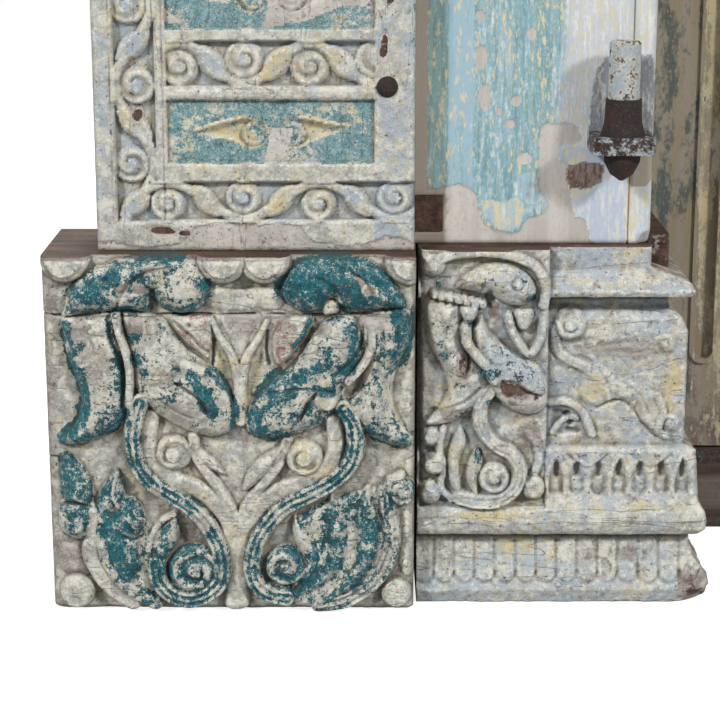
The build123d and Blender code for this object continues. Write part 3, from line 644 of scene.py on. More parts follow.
def plain_timber_paint(name, grain):
    """The head's paint: cream, blue-grey and teal flakes over grey timber, streaked along the grain, its
    cream dulled as painted shade against the stronger light up there.
    """
    finish = Finish(name)
    streak = finish.noise(110, 7, 0.66, stretch=grain)
    broad = finish.noise(9, 4)
    middle = finish.noise(42, 7, 0.68)
    fine = finish.noise(230, 5, 0.68)
    fibres = finish.noise(150, 5, 0.65, stretch=grain)
    # Dull creams as painted shade, offsetting the stronger light on the head
    coat = finish.mix((streak * 0.5 + fine * 0.5).step(0.3, 0.7), HEAD_SHADE_CREAM, GREY_CREAM)
    coat = finish.mix(flaked(0.24 + broad * 0.4, streak * 0.4 + middle * 0.25 + fine * 0.35, 5.0), coat,
                      DULL_BLUE)
    coat = finish.mix(flaked(0.50 - broad * 0.35, streak * 0.35 + middle * 0.35 + fine * 0.3, 6.0), coat,
                      TEAL_WORN)
    coat = finish.mix(flaked(0.30, fine * 0.6 + middle * 0.4, 7.0), coat, OCHRE)
    ground = finish.mix(fibres.step(0.35, 0.7), PRIMER, GREY_BROWN)
    ground = finish.mix(flaked(0.22, middle * 0.6 + fine * 0.4, 6.0), ground, BARE_WOOD)
    chips = flaked(0.38 + broad * 0.14, middle * 0.5 + fine * 0.3 + streak * 0.2, 9.0)
    colour = finish.mix(chips, coat, ground)
    height = (1 - chips) * 0.5 + fibres * 0.3 + fine * 0.3
    return finish.finish_with(colour, 0.62 + fine * 0.18, height, 0.0009)


def leaf_paint(name):
    """The leaves' old paint: taupe and olive with slate-teal streaks, cream flakes and pink-brown chips."""
    finish = Finish(name)
    upright = (1, 1, 0.07)
    streak = finish.noise(60, 6, 0.62, stretch=upright)
    second = finish.noise(80, 6, 0.62, stretch=upright, shift=(2.3, 5.1, 0.9))
    middle = finish.noise(46, 7, 0.65, stretch=(1, 1, 0.45))
    fine = finish.noise(250, 5, 0.68, stretch=(1, 1, 0.6))
    # The leaf's foot, the strip beside its heel, and all that lies inside its flute, in metres
    away = finish.from_middle()
    low = finish.axis("Z").step(0.20, 0.12)
    edge_zone = away.step(0.372, 0.392)
    flute_zone = away.step(0.352, 0.347)
    ground = finish.mix(streak.step(0.3, 0.75), TAUPE, OLIVE)
    slate = flaked(0.40 + edge_zone * 0.06 + low * 0.08, streak * 0.25 + middle * 0.55 + fine * 0.2, 7.0)
    colour = finish.mix(slate * 0.85, ground, SLATE)
    chips = flaked(0.26 + flute_zone * 0.2, middle * 0.6 + fine * 0.4, 8.0)
    colour = finish.mix(chips, colour, PINK_BROWN)
    cream = flaked(0.25 + flute_zone * 0.24 - low * 0.1, second * 0.3 + middle * 0.45 + fine * 0.25, 8.0)
    colour = finish.mix(cream, colour, finish.mix(second.step(0.4, 0.6), OCHRE, CREAM))
    blue = flaked(0.26 + low * 0.1, fine * 0.5 + second * 0.5, 7.0)
    colour = finish.mix(blue * 0.7, colour, LAVENDER_DULL)
    dark = flaked(0.15, streak * 0.5 + fine * 0.5, 8.0)
    colour = finish.mix(dark, colour, DARK_WOOD)
    height = cream * 0.4 + slate * 0.2 + fine * 0.35 + streak * 0.3 - dark * 0.4
    return finish.finish_with(colour, 0.6 + fine * 0.2, height, 0.0010)


def bare_timber(name, grain, pale_share):
    """Bare weathered timber: brown fibres and dark checks along the grain, with some old paint left."""
    finish = Finish(name)
    fibres = finish.noise(110, 7, 0.65, stretch=grain)
    broad = finish.noise(22, 5, stretch=grain)
    fine = finish.noise(260, 5, 0.7)
    colour = finish.mix(fibres.step(0.25, 0.75), DARK_WOOD, BARE_WOOD)
    colour = finish.mix(broad.step(0.45, 0.8) * 0.6, colour, GREY_BROWN)
    paint = flaked(pale_share, broad * 0.4 + fine * 0.6, 7.0)
    colour = finish.mix(paint * 0.8, colour, SLATE)
    colour = finish.mix(flaked(pale_share * 0.5, fine * 0.7 + fibres * 0.3, 7.0) * 0.8, colour, OCHRE)
    return finish.finish_with(colour, 0.72 + fine * 0.15, fibres * 0.7 + fine * 0.4 + paint * 0.3, 0.0014)


def rusty_iron(name, paint_share):
    """Forged iron: near-black scale, red-brown rust in blotches, and what is left of cream and grey paint."""
    finish = Finish(name)
    blotch = finish.noise(60, 7, 0.65)
    patches = finish.noise(95, 8, 0.7, shift=(2.2, 6.1, 3.7))
    fine = finish.noise(420, 6, 0.75)
    colour = finish.mix(blotch.step(0.5, 0.9), IRON, RUST)
    colour = finish.mix(fine.step(0.58, 0.8) * 0.6, colour, RUST_PALE)
    paint = flaked(paint_share, patches * 0.6 + fine * 0.4, 7.0)
    colour = finish.mix(paint, colour, finish.mix(patches.step(0.35, 0.6), BLUE_GREY, CREAM))
    height = blotch * 0.5 + fine * 0.5 + paint * 0.4
    return finish.finish_with(colour, 0.55 + fine * 0.3, height, 0.0012)


PLINTH_PAINT = carved_paint("plinth_paint", 0.20, 0.34, 0.34, (0.14, 1, 1))
BASE_PAINT = carved_paint("base_paint", 0.46, 0.30, 0.30, (0.14, 1, 1))
POST_PAINT = carved_paint("post_paint", 0.30, 0.32, 0.25, (1, 1, 0.14), (TEAL_WORN, TEAL_SOFT, STRAW),
                          (PRIMER_LIGHT, PRIMER))
JAMB_PAINT = streaked_paint("jamb_paint")
HEAD_PAINT = plain_timber_paint("head_paint", (0.08, 1, 1))
CAPITAL_PAINT = plain_timber_paint("capital_paint", (1, 1, 0.08))
LEAF_PAINT = leaf_paint("leaf_paint")
SILL_WOOD = bare_timber("sill_wood", (0.08, 1, 1), 0.36)
PEG_WOOD = bare_timber("peg_wood", (1, 1, 1), 0.0)
IRONWORK = rusty_iron("ironwork", 0.0)
PLATE_IRON = rusty_iron("plate_iron", 0.46)
PIN_PAINT = rusty_iron("pin_paint", 0.60)


# Plinth carving: two crested birds face each other over scrolled stems and leaves.
# Across is counted from the block's outer edge and up from the floor.

PLINTH_OUTER = box_face("plinth_lower_right", HIGH, X)
PLINTH_WIDTH = PLINTH_OUTER - box_face("plinth_lower_right", LOW, X)
PLINTH_JOINT = box_face("plinth_lower_right", HIGH, Z)
PLINTH_TOP = box_face("plinth_upper_right", HIGH, Z)
PLINTH_BACK = box_face("plinth_lower_right", HIGH, Y) - FRONT_Y
# Grid steps in millimetres. The left side is finer, because the photo shows it
PLINTH_STEPS = {LEFT: 1.15, RIGHT: 1.6}
HIGHEST_CARVING = 20.5
SIDE_CRACK = 153
PLINTH_GROUND = 20


def plinth_leaves(carving):
    """The lower half: leaf fans on both sides of the stems, and corner buds."""
    carving.pillow([(46, 104), (62, 118), (84, 112), (96, 92), (108, 88), (120, 92), (116, 66), (104, 48),
                    (98, 30), (104, 10), (84, 10), (60, 30), (48, 60)], 9, 10, teal=0.4)
    carving.pillow([(234, 94), (262, 112), (296, 122), (322, 124), (328, 96), (328, 62), (314, 34), (286, 12),
                    (250, 4), (226, 10), (236, 34), (242, 56), (236, 76)], 9, 10, teal=0.42)
    carving.pillow([(10, 110), (24, 116), (42, 112), (52, 90), (56, 60), (70, 34), (96, 12), (76, 6),
                    (52, 22), (38, 50), (36, 74), (14, 80)], 8, 9, teal=0.3)
    carving.pillow([(14, 160), (26, 154), (36, 142), (42, 126), (41, 112), (38, 104), (24, 106), (15, 112),
                    (11, 128), (11, 144)], 14, 15, teal=0.6)
    carving.pillow([(12, 110), (34, 110), (43, 104), (41, 84), (32, 74), (16, 76), (8, 92)], 14, 15,
                   teal=0.52)
    carving.cut([(12, 108), (24, 112), (40, 106)], 2.5, 4)
    carving.volute((25, 91), 11, 17, pitch=22, boss=7, teal=0.4, groove=2)
    carving.stroke([(42, 98), (42, 78), (38, 60), (45, 42), (58, 24), (78, 10)], 9, 10, teal=0.12, pale=-0.1)
    carving.stroke([(52, 96), (51, 76), (54, 56), (63, 38), (78, 22), (100, 10)], 8, 12, teal=0.42)
    carving.pillow([(66, 144), (71, 128), (71, 112), (60, 102), (50, 94), (44, 100), (46, 114), (52, 128),
                    (60, 138)], 14, 13, teal=0.56)
    carving.pillow([(80, 116), (90, 104), (93, 88), (87, 76), (87, 60), (90, 50), (82, 40), (78, 26),
                    (64, 32), (56, 46), (50, 62), (47, 88), (54, 98), (68, 110)], 17, 17, teal=0.56)
    carving.cut([(88, 78), (80, 76), (72, 80)], 2, 3)
    carving.volute((84, 93), 8, 19, pitch=16, boss=5, teal=0.35, groove=1.5)
    carving.stroke([(66, 140), (62, 122), (66, 108)], 1.5, 15, teal=0.1)
    carving.pillow([(121, 98), (124, 84), (122, 70), (114, 58), (106, 48), (99, 42), (96, 56), (99, 74),
                    (107, 88)], 13, 12, teal=0.6)
    carving.stroke([(120, 100), (109, 94), (100, 84), (95, 70), (93, 54), (98, 38)], 4, 11, taper=(0.7, 1),
                   teal=0.35)
    carving.pillow([(8, 72), (22, 68), (33, 60), (37, 48), (36, 36), (26, 36), (12, 38), (6, 50)], 4, 14,
                   bare=0.2)
    carving.volute((24, 21), 17, 14, pitch=26, boss=13, groove=2)
    carving.pillow([(234, 98), (242, 88), (252, 78), (259, 64), (257, 48), (246, 34), (230, 22), (236, 40),
                    (241, 54), (236, 68), (232, 82)], 11, 9, teal=0.3)
    carving.pillow([(244, 90), (252, 76), (259, 64), (257, 46), (246, 32), (236, 26), (246, 46), (250, 60),
                    (247, 74)], 13, 8, teal=0.66)
    carving.pillow([(270, 119), (278, 108), (285, 94), (288, 74), (286, 56), (276, 38), (260, 24),
                    (240, 14), (224, 14), (244, 28), (258, 44), (263, 64), (262, 84), (260, 98),
                    (264, 110)], 14, 13, teal=0.5)
    carving.pillow([(305, 128), (312, 112), (317, 92), (317, 70), (310, 48), (298, 30), (280, 16), (256, 8),
                    (236, 8), (262, 18), (280, 34), (290, 54), (292, 74), (290, 96), (294, 114)], 16, 13,
                   teal=0.56)
    carving.volute((306, 104), 9, 17, pitch=20, boss=6, teal=0.45, groove=2)
    carving.stroke([(322, 122), (325, 100), (328, 78), (325, 58), (317, 40), (302, 24), (282, 12),
                    (258, 6)], 9, 13, teal=0.44, ribs=1, rib_depth=2.5)
    carving.stroke([(336, 138), (325, 132), (322, 120)], 4, 12, teal=0.4)
    carving.volute((338, 122), 14, 15, pitch=13, turn=-1, boss=5, teal=0.46, groove=3)
    carving.volute((332, 19), 15, 13, pitch=24, boss=11, groove=2)
    carving.pillow([(336, 100), (346, 98), (350, 72), (349, 40), (340, 36), (334, 52), (334, 80)], 5, 8)


def plinth_stems(carving):
    """The middle: a cream heart of bands, inner scrolls, and two S-stems with painted grooves."""
    carving.stroke([(100, 196), (96, 176), (99, 158), (108, 144), (124, 132), (144, 123), (160, 108),
                    (173, 88), (177, 40), (176, 10)], 8, 9, taper=(1, 1.3))
    carving.stroke([(272, 194), (274, 166), (266, 146), (247, 132), (225, 124), (206, 112), (192, 96),
                    (182, 78), (180, 40), (180, 10)], 8, 9, taper=(1, 1.3))
    carving.stroke([(139, 176), (142, 156), (156, 134), (170, 112), (180, 88)], 5.5, 8)
    carving.stroke([(228, 172), (220, 150), (204, 128), (190, 110), (181, 88)], 5.5, 8)
    carving.pillow([(138, 170), (152, 160), (164, 148), (169, 138), (158, 142), (144, 152)], 10, 7)
    carving.pillow([(226, 168), (212, 162), (200, 154), (188, 138), (186, 122), (200, 130),
                    (216, 146)], 10, 8)
    carving.volute((120, 160), 18, 13, pitch=13, turn=-1, boss=7, groove=3.5)
    carving.volute((244, 156), 18, 14, pitch=13, turn=1, boss=7, groove=3.5, pale=0.12)
    left_stem = [(90, 212), (84, 192), (82, 172), (86, 150), (99, 132), (117, 120), (135, 108), (149, 92),
                 (160, 72), (165, 50), (162, 32), (151, 20), (135, 14), (117, 18), (104, 32), (101, 50)]
    carving.stroke(left_stem, 9.5, 16, ribs=1, teal=0.42, groove_teal=0.62, rib_depth=2.1)
    carving.volute((139, 42), 27, 15, pitch=14, turn=-1, start=0.25, boss=5, teal=0.42, groove_teal=0.68,
                   groove=3.5)
    right_stem = [(281, 206), (290, 192), (293, 170), (287, 150), (272, 134), (250, 121), (227, 109),
                  (210, 92), (198, 72), (193, 50), (197, 31), (209, 20), (226, 16)]
    carving.stroke(right_stem, 9.5, 16, ribs=1, teal=0.42, groove_teal=0.6, rib_depth=2.1)
    carving.volute((225, 48), 20, 16, pitch=13, turn=1, start=0.1, boss=5, teal=0.4, groove_teal=0.62,
                   groove=3.5)


def plinth_birds(carving):
    """The two birds: drooping wing, striped flank, breast, petal, and a round crest on an arch."""
    carving.stroke([(158, 290), (166, 272), (177, 254), (183, 228), (184, 192)], 5, 6, pale=0.1,
                   taper=(0.5, 1.4))
    carving.stroke([(210, 288), (201, 270), (190, 252), (185, 228), (184, 192)], 5, 6, pale=0.1,
                   taper=(0.5, 1.4))
    carving.sink([(165, 262), (175, 244), (179, 222), (176, 204), (167, 222), (161, 244)], 3, 6, pale=0.1)
    carving.sink([(205, 262), (195, 244), (190, 222), (193, 204), (202, 222), (208, 244)], 3, 6, pale=0.1)
    carving.pillow([(168, 292), (200, 292), (192, 268), (184, 250), (176, 268)], 4, 7, pale=0.1)
    carving.pillow([(19, 293), (19, 276), (21, 260), (27, 242), (32, 225), (34, 210), (30, 195), (22, 182),
                    (10, 171), (27, 168), (47, 173), (65, 182), (77, 194), (82, 210), (80, 230), (76, 255),
                    (70, 280), (66, 296), (40, 297)], 18, 21, teal=0.33)
    carving.stroke([(69, 295), (73, 276), (79, 256), (81, 236), (80, 214), (82, 198)], 4, 18, teal=0.08,
                   pale=-0.2)
    carving.cut([(62, 292), (65, 270), (74, 250), (75, 228), (73, 208)], 2.5, 3, teal=0.7)
    carving.cut([(46, 286), (48, 264), (54, 244), (58, 224), (56, 206)], 2.5, 1.5)
    carving.pillow([(75, 296), (97, 296), (112, 292), (121, 280), (134, 264), (150, 251), (163, 240),
                    (173, 222), (180, 200), (178, 186), (170, 179), (157, 176), (142, 179), (127, 185),
                    (110, 195), (98, 205), (88, 211), (84, 232), (82, 256)], 20, 27, teal=0.32)
    carving.cut([(124, 232), (135, 225), (146, 216), (153, 204)], 3, 5, taper=(0.5, 1))
    carving.cut([(108, 216), (122, 206), (138, 198)], 2, 1.5)
    carving.stroke([(103, 288), (105, 274), (114, 260), (132, 250), (150, 242)], 5, 19, teal=0.04, pale=-0.2)
    carving.pillow([(121, 292), (140, 294), (156, 293), (158, 270), (156, 252), (147, 257), (136, 266),
                    (126, 277)], 11, 9, red=0.38)
    carving.cut([(124, 288), (138, 276), (154, 258)], 2.5, 4)
    carving.cut([(160, 270), (159, 257), (158, 245)], 1.8, 5)
    carving.pillow([(20, 292), (21, 305), (25, 318), (36, 331), (50, 340), (67, 346), (88, 351), (110, 352),
                    (108, 328), (102, 314), (100, 298), (80, 299), (50, 296)], 18, 19, teal=0.44)
    carving.stroke([(74, 326), (96, 334), (124, 334)], 15, 17, teal=0.42)
    carving.cut([(68, 298), (74, 312), (84, 326), (98, 336), (116, 340)], 3, 3)
    carving.pillow([(130, 351), (146, 345), (156, 332), (157, 316), (149, 302), (134, 296), (117, 299),
                    (106, 311), (104, 326), (112, 342)], 20, 24, teal=0.34)
    carving.pillow([(342, 299), (346, 284), (341, 264), (333, 246), (328, 226), (329, 208), (336, 192),
                    (346, 178), (350, 168), (335, 166), (320, 170), (305, 178), (292, 191), (283, 206),
                    (296, 225), (301, 247), (300, 267), (296, 290), (318, 299)], 18, 21, teal=0.36)
    carving.cut([(316, 288), (319, 266), (315, 246), (311, 224), (309, 200), (316, 186)], 3, 2.5)
    carving.cut([(332, 284), (331, 264), (322, 244)], 2.5, 2)
    carving.pillow([(189, 184), (190, 200), (200, 217), (213, 231), (230, 243), (242, 258), (252, 276),
                    (268, 291), (290, 292), (301, 276), (302, 260), (294, 242), (283, 222), (280, 206),
                    (270, 196), (255, 185), (236, 178), (215, 174), (197, 176)], 20, 27, teal=0.42)
    carving.cut([(255, 220), (247, 210), (241, 196)], 3, 5)
    carving.cut([(206, 218), (224, 224), (248, 226), (270, 223)], 1.8, 2.5, teal=0.6)
    carving.volute((266, 214), 11, 20, pitch=24, boss=8, teal=0.2, groove=2)
    carving.stroke([(308, 284), (308, 266), (300, 248), (286, 232)], 4, 19, teal=0.12)
    carving.cut([(300, 286), (298, 268), (286, 250), (272, 240)], 2, 3, teal=0.5)
    carving.pillow([(254, 291), (249, 276), (240, 262), (228, 248), (218, 246), (215, 266), (220, 282),
                    (232, 292), (244, 294)], 11, 9, red=0.38)
    carving.cut([(251, 280), (240, 264), (226, 248)], 2.5, 4)
    carving.stroke([(250, 290), (243, 276), (235, 266)], 3, 12.5, teal=0.85)
    carving.cut([(210, 278), (209, 262), (212, 246)], 2, 4)
    carving.pillow([(224, 318), (229, 334), (243, 346), (265, 351), (290, 350), (310, 344), (325, 332),
                    (334, 318), (341, 302), (322, 300), (296, 299), (280, 303), (271, 310), (263, 302),
                    (250, 297), (236, 301), (227, 309)], 20, 22, teal=0.66)
    carving.cut([(276, 343), (288, 337), (300, 330), (309, 318)], 2.5, 3)
    carving.cut([(262, 330), (272, 322), (278, 312)], 4, 3)
    carving.pillow([(262, 305), (270, 311), (278, 306), (277, 297), (264, 294)], 12, 5)


def plinth_crown(carving):
    """Rounded lobes that hang from the top edge between and beside the crests."""
    for across, up, radius in ((22, 350, 25), (169, 348, 24), (208, 348, 24), (344, 346, 24)):
        carving.volute((across, up), radius, 14, radius + 12, boss=radius - 7, groove=2)
    carving.pillow([(156, 322), (180, 318), (206, 320), (224, 316), (222, 300), (190, 298), (156, 300)], 3, 8)


def plinth_wear(carving):
    """Where the coats are lost: bare timber beside the joint, teal left in patches, and old nail holes."""
    for centre, radii, amount in (
            ((34, 282), (14, 12), 0.34), ((86, 284), (11, 11), 0.34), ((40, 298), (14, 6), 0.5),
            ((188, 288), (16, 12), 0.4), ((316, 290), (26, 7), 0.45), ((262, 282), (9, 8), 0.3),
            ((78, 322), (7, 4), 0.55), ((93, 322), (6, 5), 0.4), ((296, 328), (6, 5), 0.6),
            ((306, 320), (7, 6), 0.35), ((50, 252), (13, 26), 0.16), ((130, 204), (26, 12), 0.18),
            ((110, 236), (14, 12), 0.14), ((20, 60), (16, 14), 0.3), ((100, 120), (10, 8), 0.3),
            ((128, 80), (10, 8), 0.45), ((8, 320), (7, 30), 0.3), ((6, 200), (5, 60), 0.25),
            ((145, 92), (8, 10), 0.3), ((224, 286), (14, 8), 0.3)):
        carving.dab(centre, radii, bare=amount, teal=0.12)
    for path, half_width, amount in (
            ([(22, 286), (25, 258), (32, 238), (37, 218), (36, 202), (28, 186), (16, 176)], 7, 0.85),
            ([(20, 176), (44, 178), (64, 188), (78, 204)], 6, 0.7),
            ([(70, 258), (74, 236), (74, 212)], 4, 0.66),
            ([(140, 238), (150, 222), (158, 206)], 7, 0.8),
            ([(158, 242), (172, 222), (179, 202), (176, 188)], 5, 0.68),
            ([(86, 276), (88, 256), (96, 242)], 5, 0.6),
            ([(24, 300), (50, 300), (96, 302)], 5, 0.66),
            ([(30, 316), (50, 322), (70, 336)], 11, 0.68),
            ([(84, 345), (110, 349), (130, 346)], 6, 0.62),
            ([(104, 324), (108, 308), (122, 299), (138, 300), (150, 312), (154, 326)], 6, 0.72),
            ([(196, 200), (200, 186), (214, 180)], 9, 0.8),
            ([(204, 216), (218, 232), (238, 238), (258, 246)], 8, 0.66),
            ([(204, 206), (222, 218), (250, 226), (270, 223)], 5, 0.66),
            ([(210, 177), (236, 182), (262, 196)], 4, 0.55),
            ([(286, 282), (292, 262), (284, 244)], 8, 0.8),
            ([(338, 292), (338, 270), (330, 250)], 11, 0.8),
            ([(298, 186), (320, 175), (346, 172)], 8, 0.72),
            ([(230, 320), (250, 336), (280, 326), (284, 308)], 13, 0.85),
            ([(290, 308), (312, 312), (330, 308)], 8, 0.72),
            ([(16, 150), (22, 134), (20, 116)], 9, 0.85),
            ([(60, 96), (66, 66), (76, 44)], 14, 0.8),
            ([(250, 62), (254, 46), (242, 32)], 7, 0.7),
            ([(276, 76), (274, 52), (258, 34)], 9, 0.6),
            ([(308, 84), (304, 58), (288, 32)], 11, 0.62)):
        carving.brush(path, half_width, amount)
    carving.dab((129, 321), (18, 15), teal=0.26, blue=0.2)
    carving.dabs((((110, 278), (9, 14)), ((120, 254), (14, 6)), ((134, 222), (6, 4)), ((20, 166), (10, 8)),
                  ((188, 120), (26, 10)), ((310, 300), (8, 4)), ((344, 210), (6, 30)), ((60, 150), (30, 8))),
                 pale=-0.3, blue=-0.3)
    for place in ((101, 302), (276, 302), (138, 285), (62, 330)):
        away = np.hypot(carving.u - place[0], carving.v - place[1])
        carving.height -= 5 * np.clip(1 - away / 4, 0, 1)


def plinth_carving(u, v):
    """Depth of the plinth's front: carved ground, birds, stems and leaves, then joint, cracks and wear."""
    carving = Carving(u, v)
    carving.height += 3.0 * (rough(u, v, 34, 3) - 0.4)
    plinth_leaves(carving)
    plinth_stems(carving)
    plinth_birds(carving)
    plinth_crown(carving)
    plinth_wear(carving)
    joint_line = PLINTH_JOINT + 2.2 * (rough(u, v, 26, 5) - 0.5)
    joint = np.clip(1 - np.abs(v - joint_line) / 1.6, 0, 1)
    carving.height -= 6 * joint * eased(rough(u, v, 14, 8), 0.15, 0.5)
    for edge, reach in ((0, 26), (PLINTH_WIDTH, 12)):
        crack = np.clip(1 - np.abs(v - SIDE_CRACK - 2 * np.sin(u / 5)) / 1.3, 0, 1)
        carving.height -= 6 * crack * np.clip(1 - np.abs(u - edge) / reach, 0, 1)
    carving.height += 1.6 * (rough(u, v, 11, 11) - 0.5) + 1.1 * (rough(u, v, 6, 12) - 0.5)
    carving.height += 0.8 * (rough(u, v, 2.8, 13) - 0.5)
    depth = PLINTH_GROUND - np.minimum(carving.height, HIGHEST_CARVING)
    from_side = np.minimum(u, PLINTH_WIDTH - u)
    from_end = np.minimum(v, PLINTH_TOP - v)
    worn = 5 + 5 * rough(u, v, 18, 21)
    ragged = worn + 7 * rough(u, v, 9, 22) * (u < 40)
    depth += 8 * np.clip(1 - from_side / ragged, 0, 1) ** 2
    depth += 6 * np.clip(1 - from_end / worn, 0, 1) ** 2
    carving.bare += 0.6 * np.clip(1 - from_end / 4, 0, 1) + 0.25 * np.clip(1 - from_side / 6, 0, 1)
    return carving, depth


def plinth_piece(side, name, low, high, step):
    """One course of the plinth, from its own stretch of the carving."""
    columns = int(PLINTH_WIDTH / step) + 1
    rows = int((high - low) / step) + 1
    u, v = np.meshgrid(np.linspace(0, PLINTH_WIDTH, columns), np.linspace(low, high, rows))
    carving, depth = plinth_carving(u, v)
    layers = paint_layers(carving, depth, u.shape, step)
    node = name + "_" + SIDE_NAMES[side]
    piece = carved_timber(node + "_carved", side, PLINTH_OUTER, u, v, depth, PLINTH_BACK, layers,
                          PLINTH_PAINT, side_bare=0.85)
    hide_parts(node)
    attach(piece, "frame")


def plinths():
    """Both plinths, each in its two courses."""
    for side, step in PLINTH_STEPS.items():
        plinth_piece(side, "plinth_lower", 0, PLINTH_JOINT, step * COARSER)
        plinth_piece(side, "plinth_upper", PLINTH_JOINT, PLINTH_TOP, step * COARSER)


# Base block: a tile with a third bird, an incised beast on the face, petals, a torus and reeds.
# Across is counted from just outside the block's outer edge, and up from the floor.

BASE_OUTER = box_face("base_block_right", HIGH, X)
BASE_ORIGIN = BASE_OUTER + 5
BASE_BACK = box_face("base_block_right", HIGH, Y) - FRONT_Y
DOORWAY_EDGE = box_face("jamb_right", LOW, X)
JAMB_DEPTH = box_face("jamb_right", LOW, Y) - FRONT_Y
BASE_STEPS = {LEFT: 1.5, RIGHT: 2.2}
BASE_TOP = 350
# From here to the corner the columns follow the mitre
BASE_STRAIGHT = 470
TURNED_WIDTH = 90
DOORWAY_SIDE_BARE = 0.35
STUB_OUTER = 449
STUB_INNER = 404
STUB_FOOT = 319
STUB_TOP = 355
STUB_FRONT = 90
TILE_DEPTH = 45
TILE_OUTER = 8
TILE_INNER = 130
TILE_FOOT = 99
# The mouldings' outline: height of each level, its reach into the doorway and its reach before the jamb
INTO_DOORWAY = 1
BEFORE_JAMB = 2
BASE_LEVELS = np.array([
    (0, 62, 32), (14, 66, 36), (28, 63, 33), (42, 51, 27), (59, 45, 23), (68, 45, 23), (70, 53, 35),
    (77, 58, 40), (85, 59, 41), (94, 57, 39), (102, 52, 34), (108, 51, 30), (153, 48, 27), (158, 37, 19),
    (269, 37, 19), (281, 32, 15), (292, 19, 5), (302, 19, 5), (304, 38, 28), (310, 41, 31), (318, 37, 27),
    (331, 0, 13), (350, 0, 13)])


def base_reach(v, column):
    """One of the outline's two reaches at some heights."""
    return np.interp(v, BASE_LEVELS[:, 0], BASE_LEVELS[:, column])


def tile_bird(carving):
    """The bird on the tile: crest, wing, body, stem with its scroll, and a fan of leaves."""
    carving.volute((19, 336), 11, 8, pitch=16, boss=6, groove=2)
    carving.stroke([(12, 334), (32, 345), (64, 349), (94, 345), (116, 334), (126, 316), (124, 298)], 5, 9)
    carving.pillow([(40, 316), (52, 330), (72, 338), (95, 336), (111, 325), (116, 310), (106, 298), (90, 299),
                    (74, 307), (56, 311)], 17, 19, teal=0.16)
    carving.cut([(44, 316), (56, 322), (66, 316), (56, 311)], 1.6, 2.5, closed=True)
    carving.cut([(92, 320), (98, 326), (104, 320), (98, 314)], 1.6, 2.5, closed=True)
    carving.cut([(72, 310), (74, 300)], 5, 6)
    carving.pillow([(14, 306), (12, 285), (14, 264), (22, 248), (31, 232), (33, 213), (23, 195), (9, 182),
                    (27, 180), (47, 187), (63, 200), (73, 214), (68, 232), (52, 250), (46, 268), (46, 290),
                    (40, 304)], 13, 17, teal=0.2)
    carving.stroke([(20, 309), (40, 305), (66, 299)], 4, 14)
    for place in range(6):
        across = 22 + 8 * place
        carving.cut([(across, 313 - 1.6 * place), (across + 1, 302 - 1.6 * place)], 1.6, 4)
    for across, up in ((32, 290), (53, 291)):
        carving.pillow([(across - 8, up + 8), (across + 8, up + 8), (across + 7, up - 3), (across, up - 11),
                        (across - 7, up - 3)], 15.5, 6)
    carving.cut([(32, 276), (30, 262), (34, 250)], 2.5, 2.5)
    carving.cut([(52, 262), (54, 244), (50, 228)], 2.5, 3)
    carving.cut([(16, 194), (34, 198), (52, 207), (64, 218)], 2.5, 3)
    carving.pillow([(64, 288), (72, 274), (88, 258), (106, 247), (122, 237), (130, 218), (129, 200),
                    (116, 191), (98, 194), (82, 205), (74, 217), (70, 232), (60, 252), (56, 272)], 16, 20,
                   teal=0.22)
    carving.stroke([(50, 278), (52, 262), (62, 249), (76, 236)], 6, 17, teal=0.1, taper=(0.8, 1))
    carving.stroke([(72, 234), (78, 226)], 5, 18, teal=0.3)
    carving.sink([(83, 225), (96, 224), (110, 217), (121, 211), (112, 205), (98, 206), (86, 213)], 2.5, 3,
                 bare=0.75)
    carving.cut([(86, 226), (98, 224), (112, 214), (122, 211)], 2.2, 4)
    carving.stroke([(90, 288), (96, 270), (110, 251), (121, 264), (124, 284)], 4, 11)
    carving.pillow([(97, 293), (113, 293), (112, 280), (105, 273), (98, 280)], 9, 5)
    carving.stroke([(72, 213), (65, 198), (67, 178), (80, 161), (95, 152), (104, 137), (101, 119), (88, 107),
                    (66, 104), (46, 108)], 7.5, 12, ribs=1, rib_depth=1.8)
    carving.volute((80, 127), 16, 12, pitch=11, turn=-1, start=0.3, boss=4, groove=3.5)
    carving.pillow([(46, 178), (38, 162), (34, 140), (38, 120), (48, 108), (46, 128), (46, 146), (52, 164)],
                   11, 7)
    carving.pillow([(63, 158), (54, 140), (54, 122), (64, 108), (64, 124), (68, 142)], 10, 7, teal=0.2)
    carving.stroke([(30, 176), (26, 158), (30, 136), (28, 118), (38, 106)], 3.5, 8)
    carving.volute((18, 168), 10, 8, pitch=16, boss=6, groove=2)
    carving.volute((22, 142), 12, 11, pitch=18, boss=8, groove=2)
    carving.volute((17, 113), 12, 11, pitch=20, boss=8, groove=2)
    carving.volute((117, 117), 12, 11, pitch=20, boss=8, groove=2)
    carving.stroke([(112, 172), (121, 158), (122, 142), (118, 130)], 4, 4)
    carving.dabs((((26, 318), (6, 4)), ((28, 250), (6, 6)), ((74, 234), (9, 5)), ((64, 152), (4, 7)),
                  ((62, 130), (4, 7)), ((112, 305), (6, 4)), ((76, 204), (10, 4)), ((54, 283), (5, 5))),
                 teal=0.62)
    for centre, radii, amount in (
            ((50, 240), (9, 16), 0.7), ((44, 192), (20, 6), 0.6), ((104, 207), (16, 6), 0.6),
            ((112, 165), (12, 16), 0.3), ((50, 318), (8, 5), 0.6), ((108, 306), (8, 5), 0.5),
            ((78, 290), (5, 12), 0.5)):
        carving.dab(centre, radii, bare=amount)
    carving.dabs((((60, 262), (12, 8)), ((80, 320), (16, 10)), ((112, 250), (14, 10)), ((30, 208), (8, 14)),
                  ((100, 185), (20, 8)), ((46, 160), (10, 20))), pale=0.24)


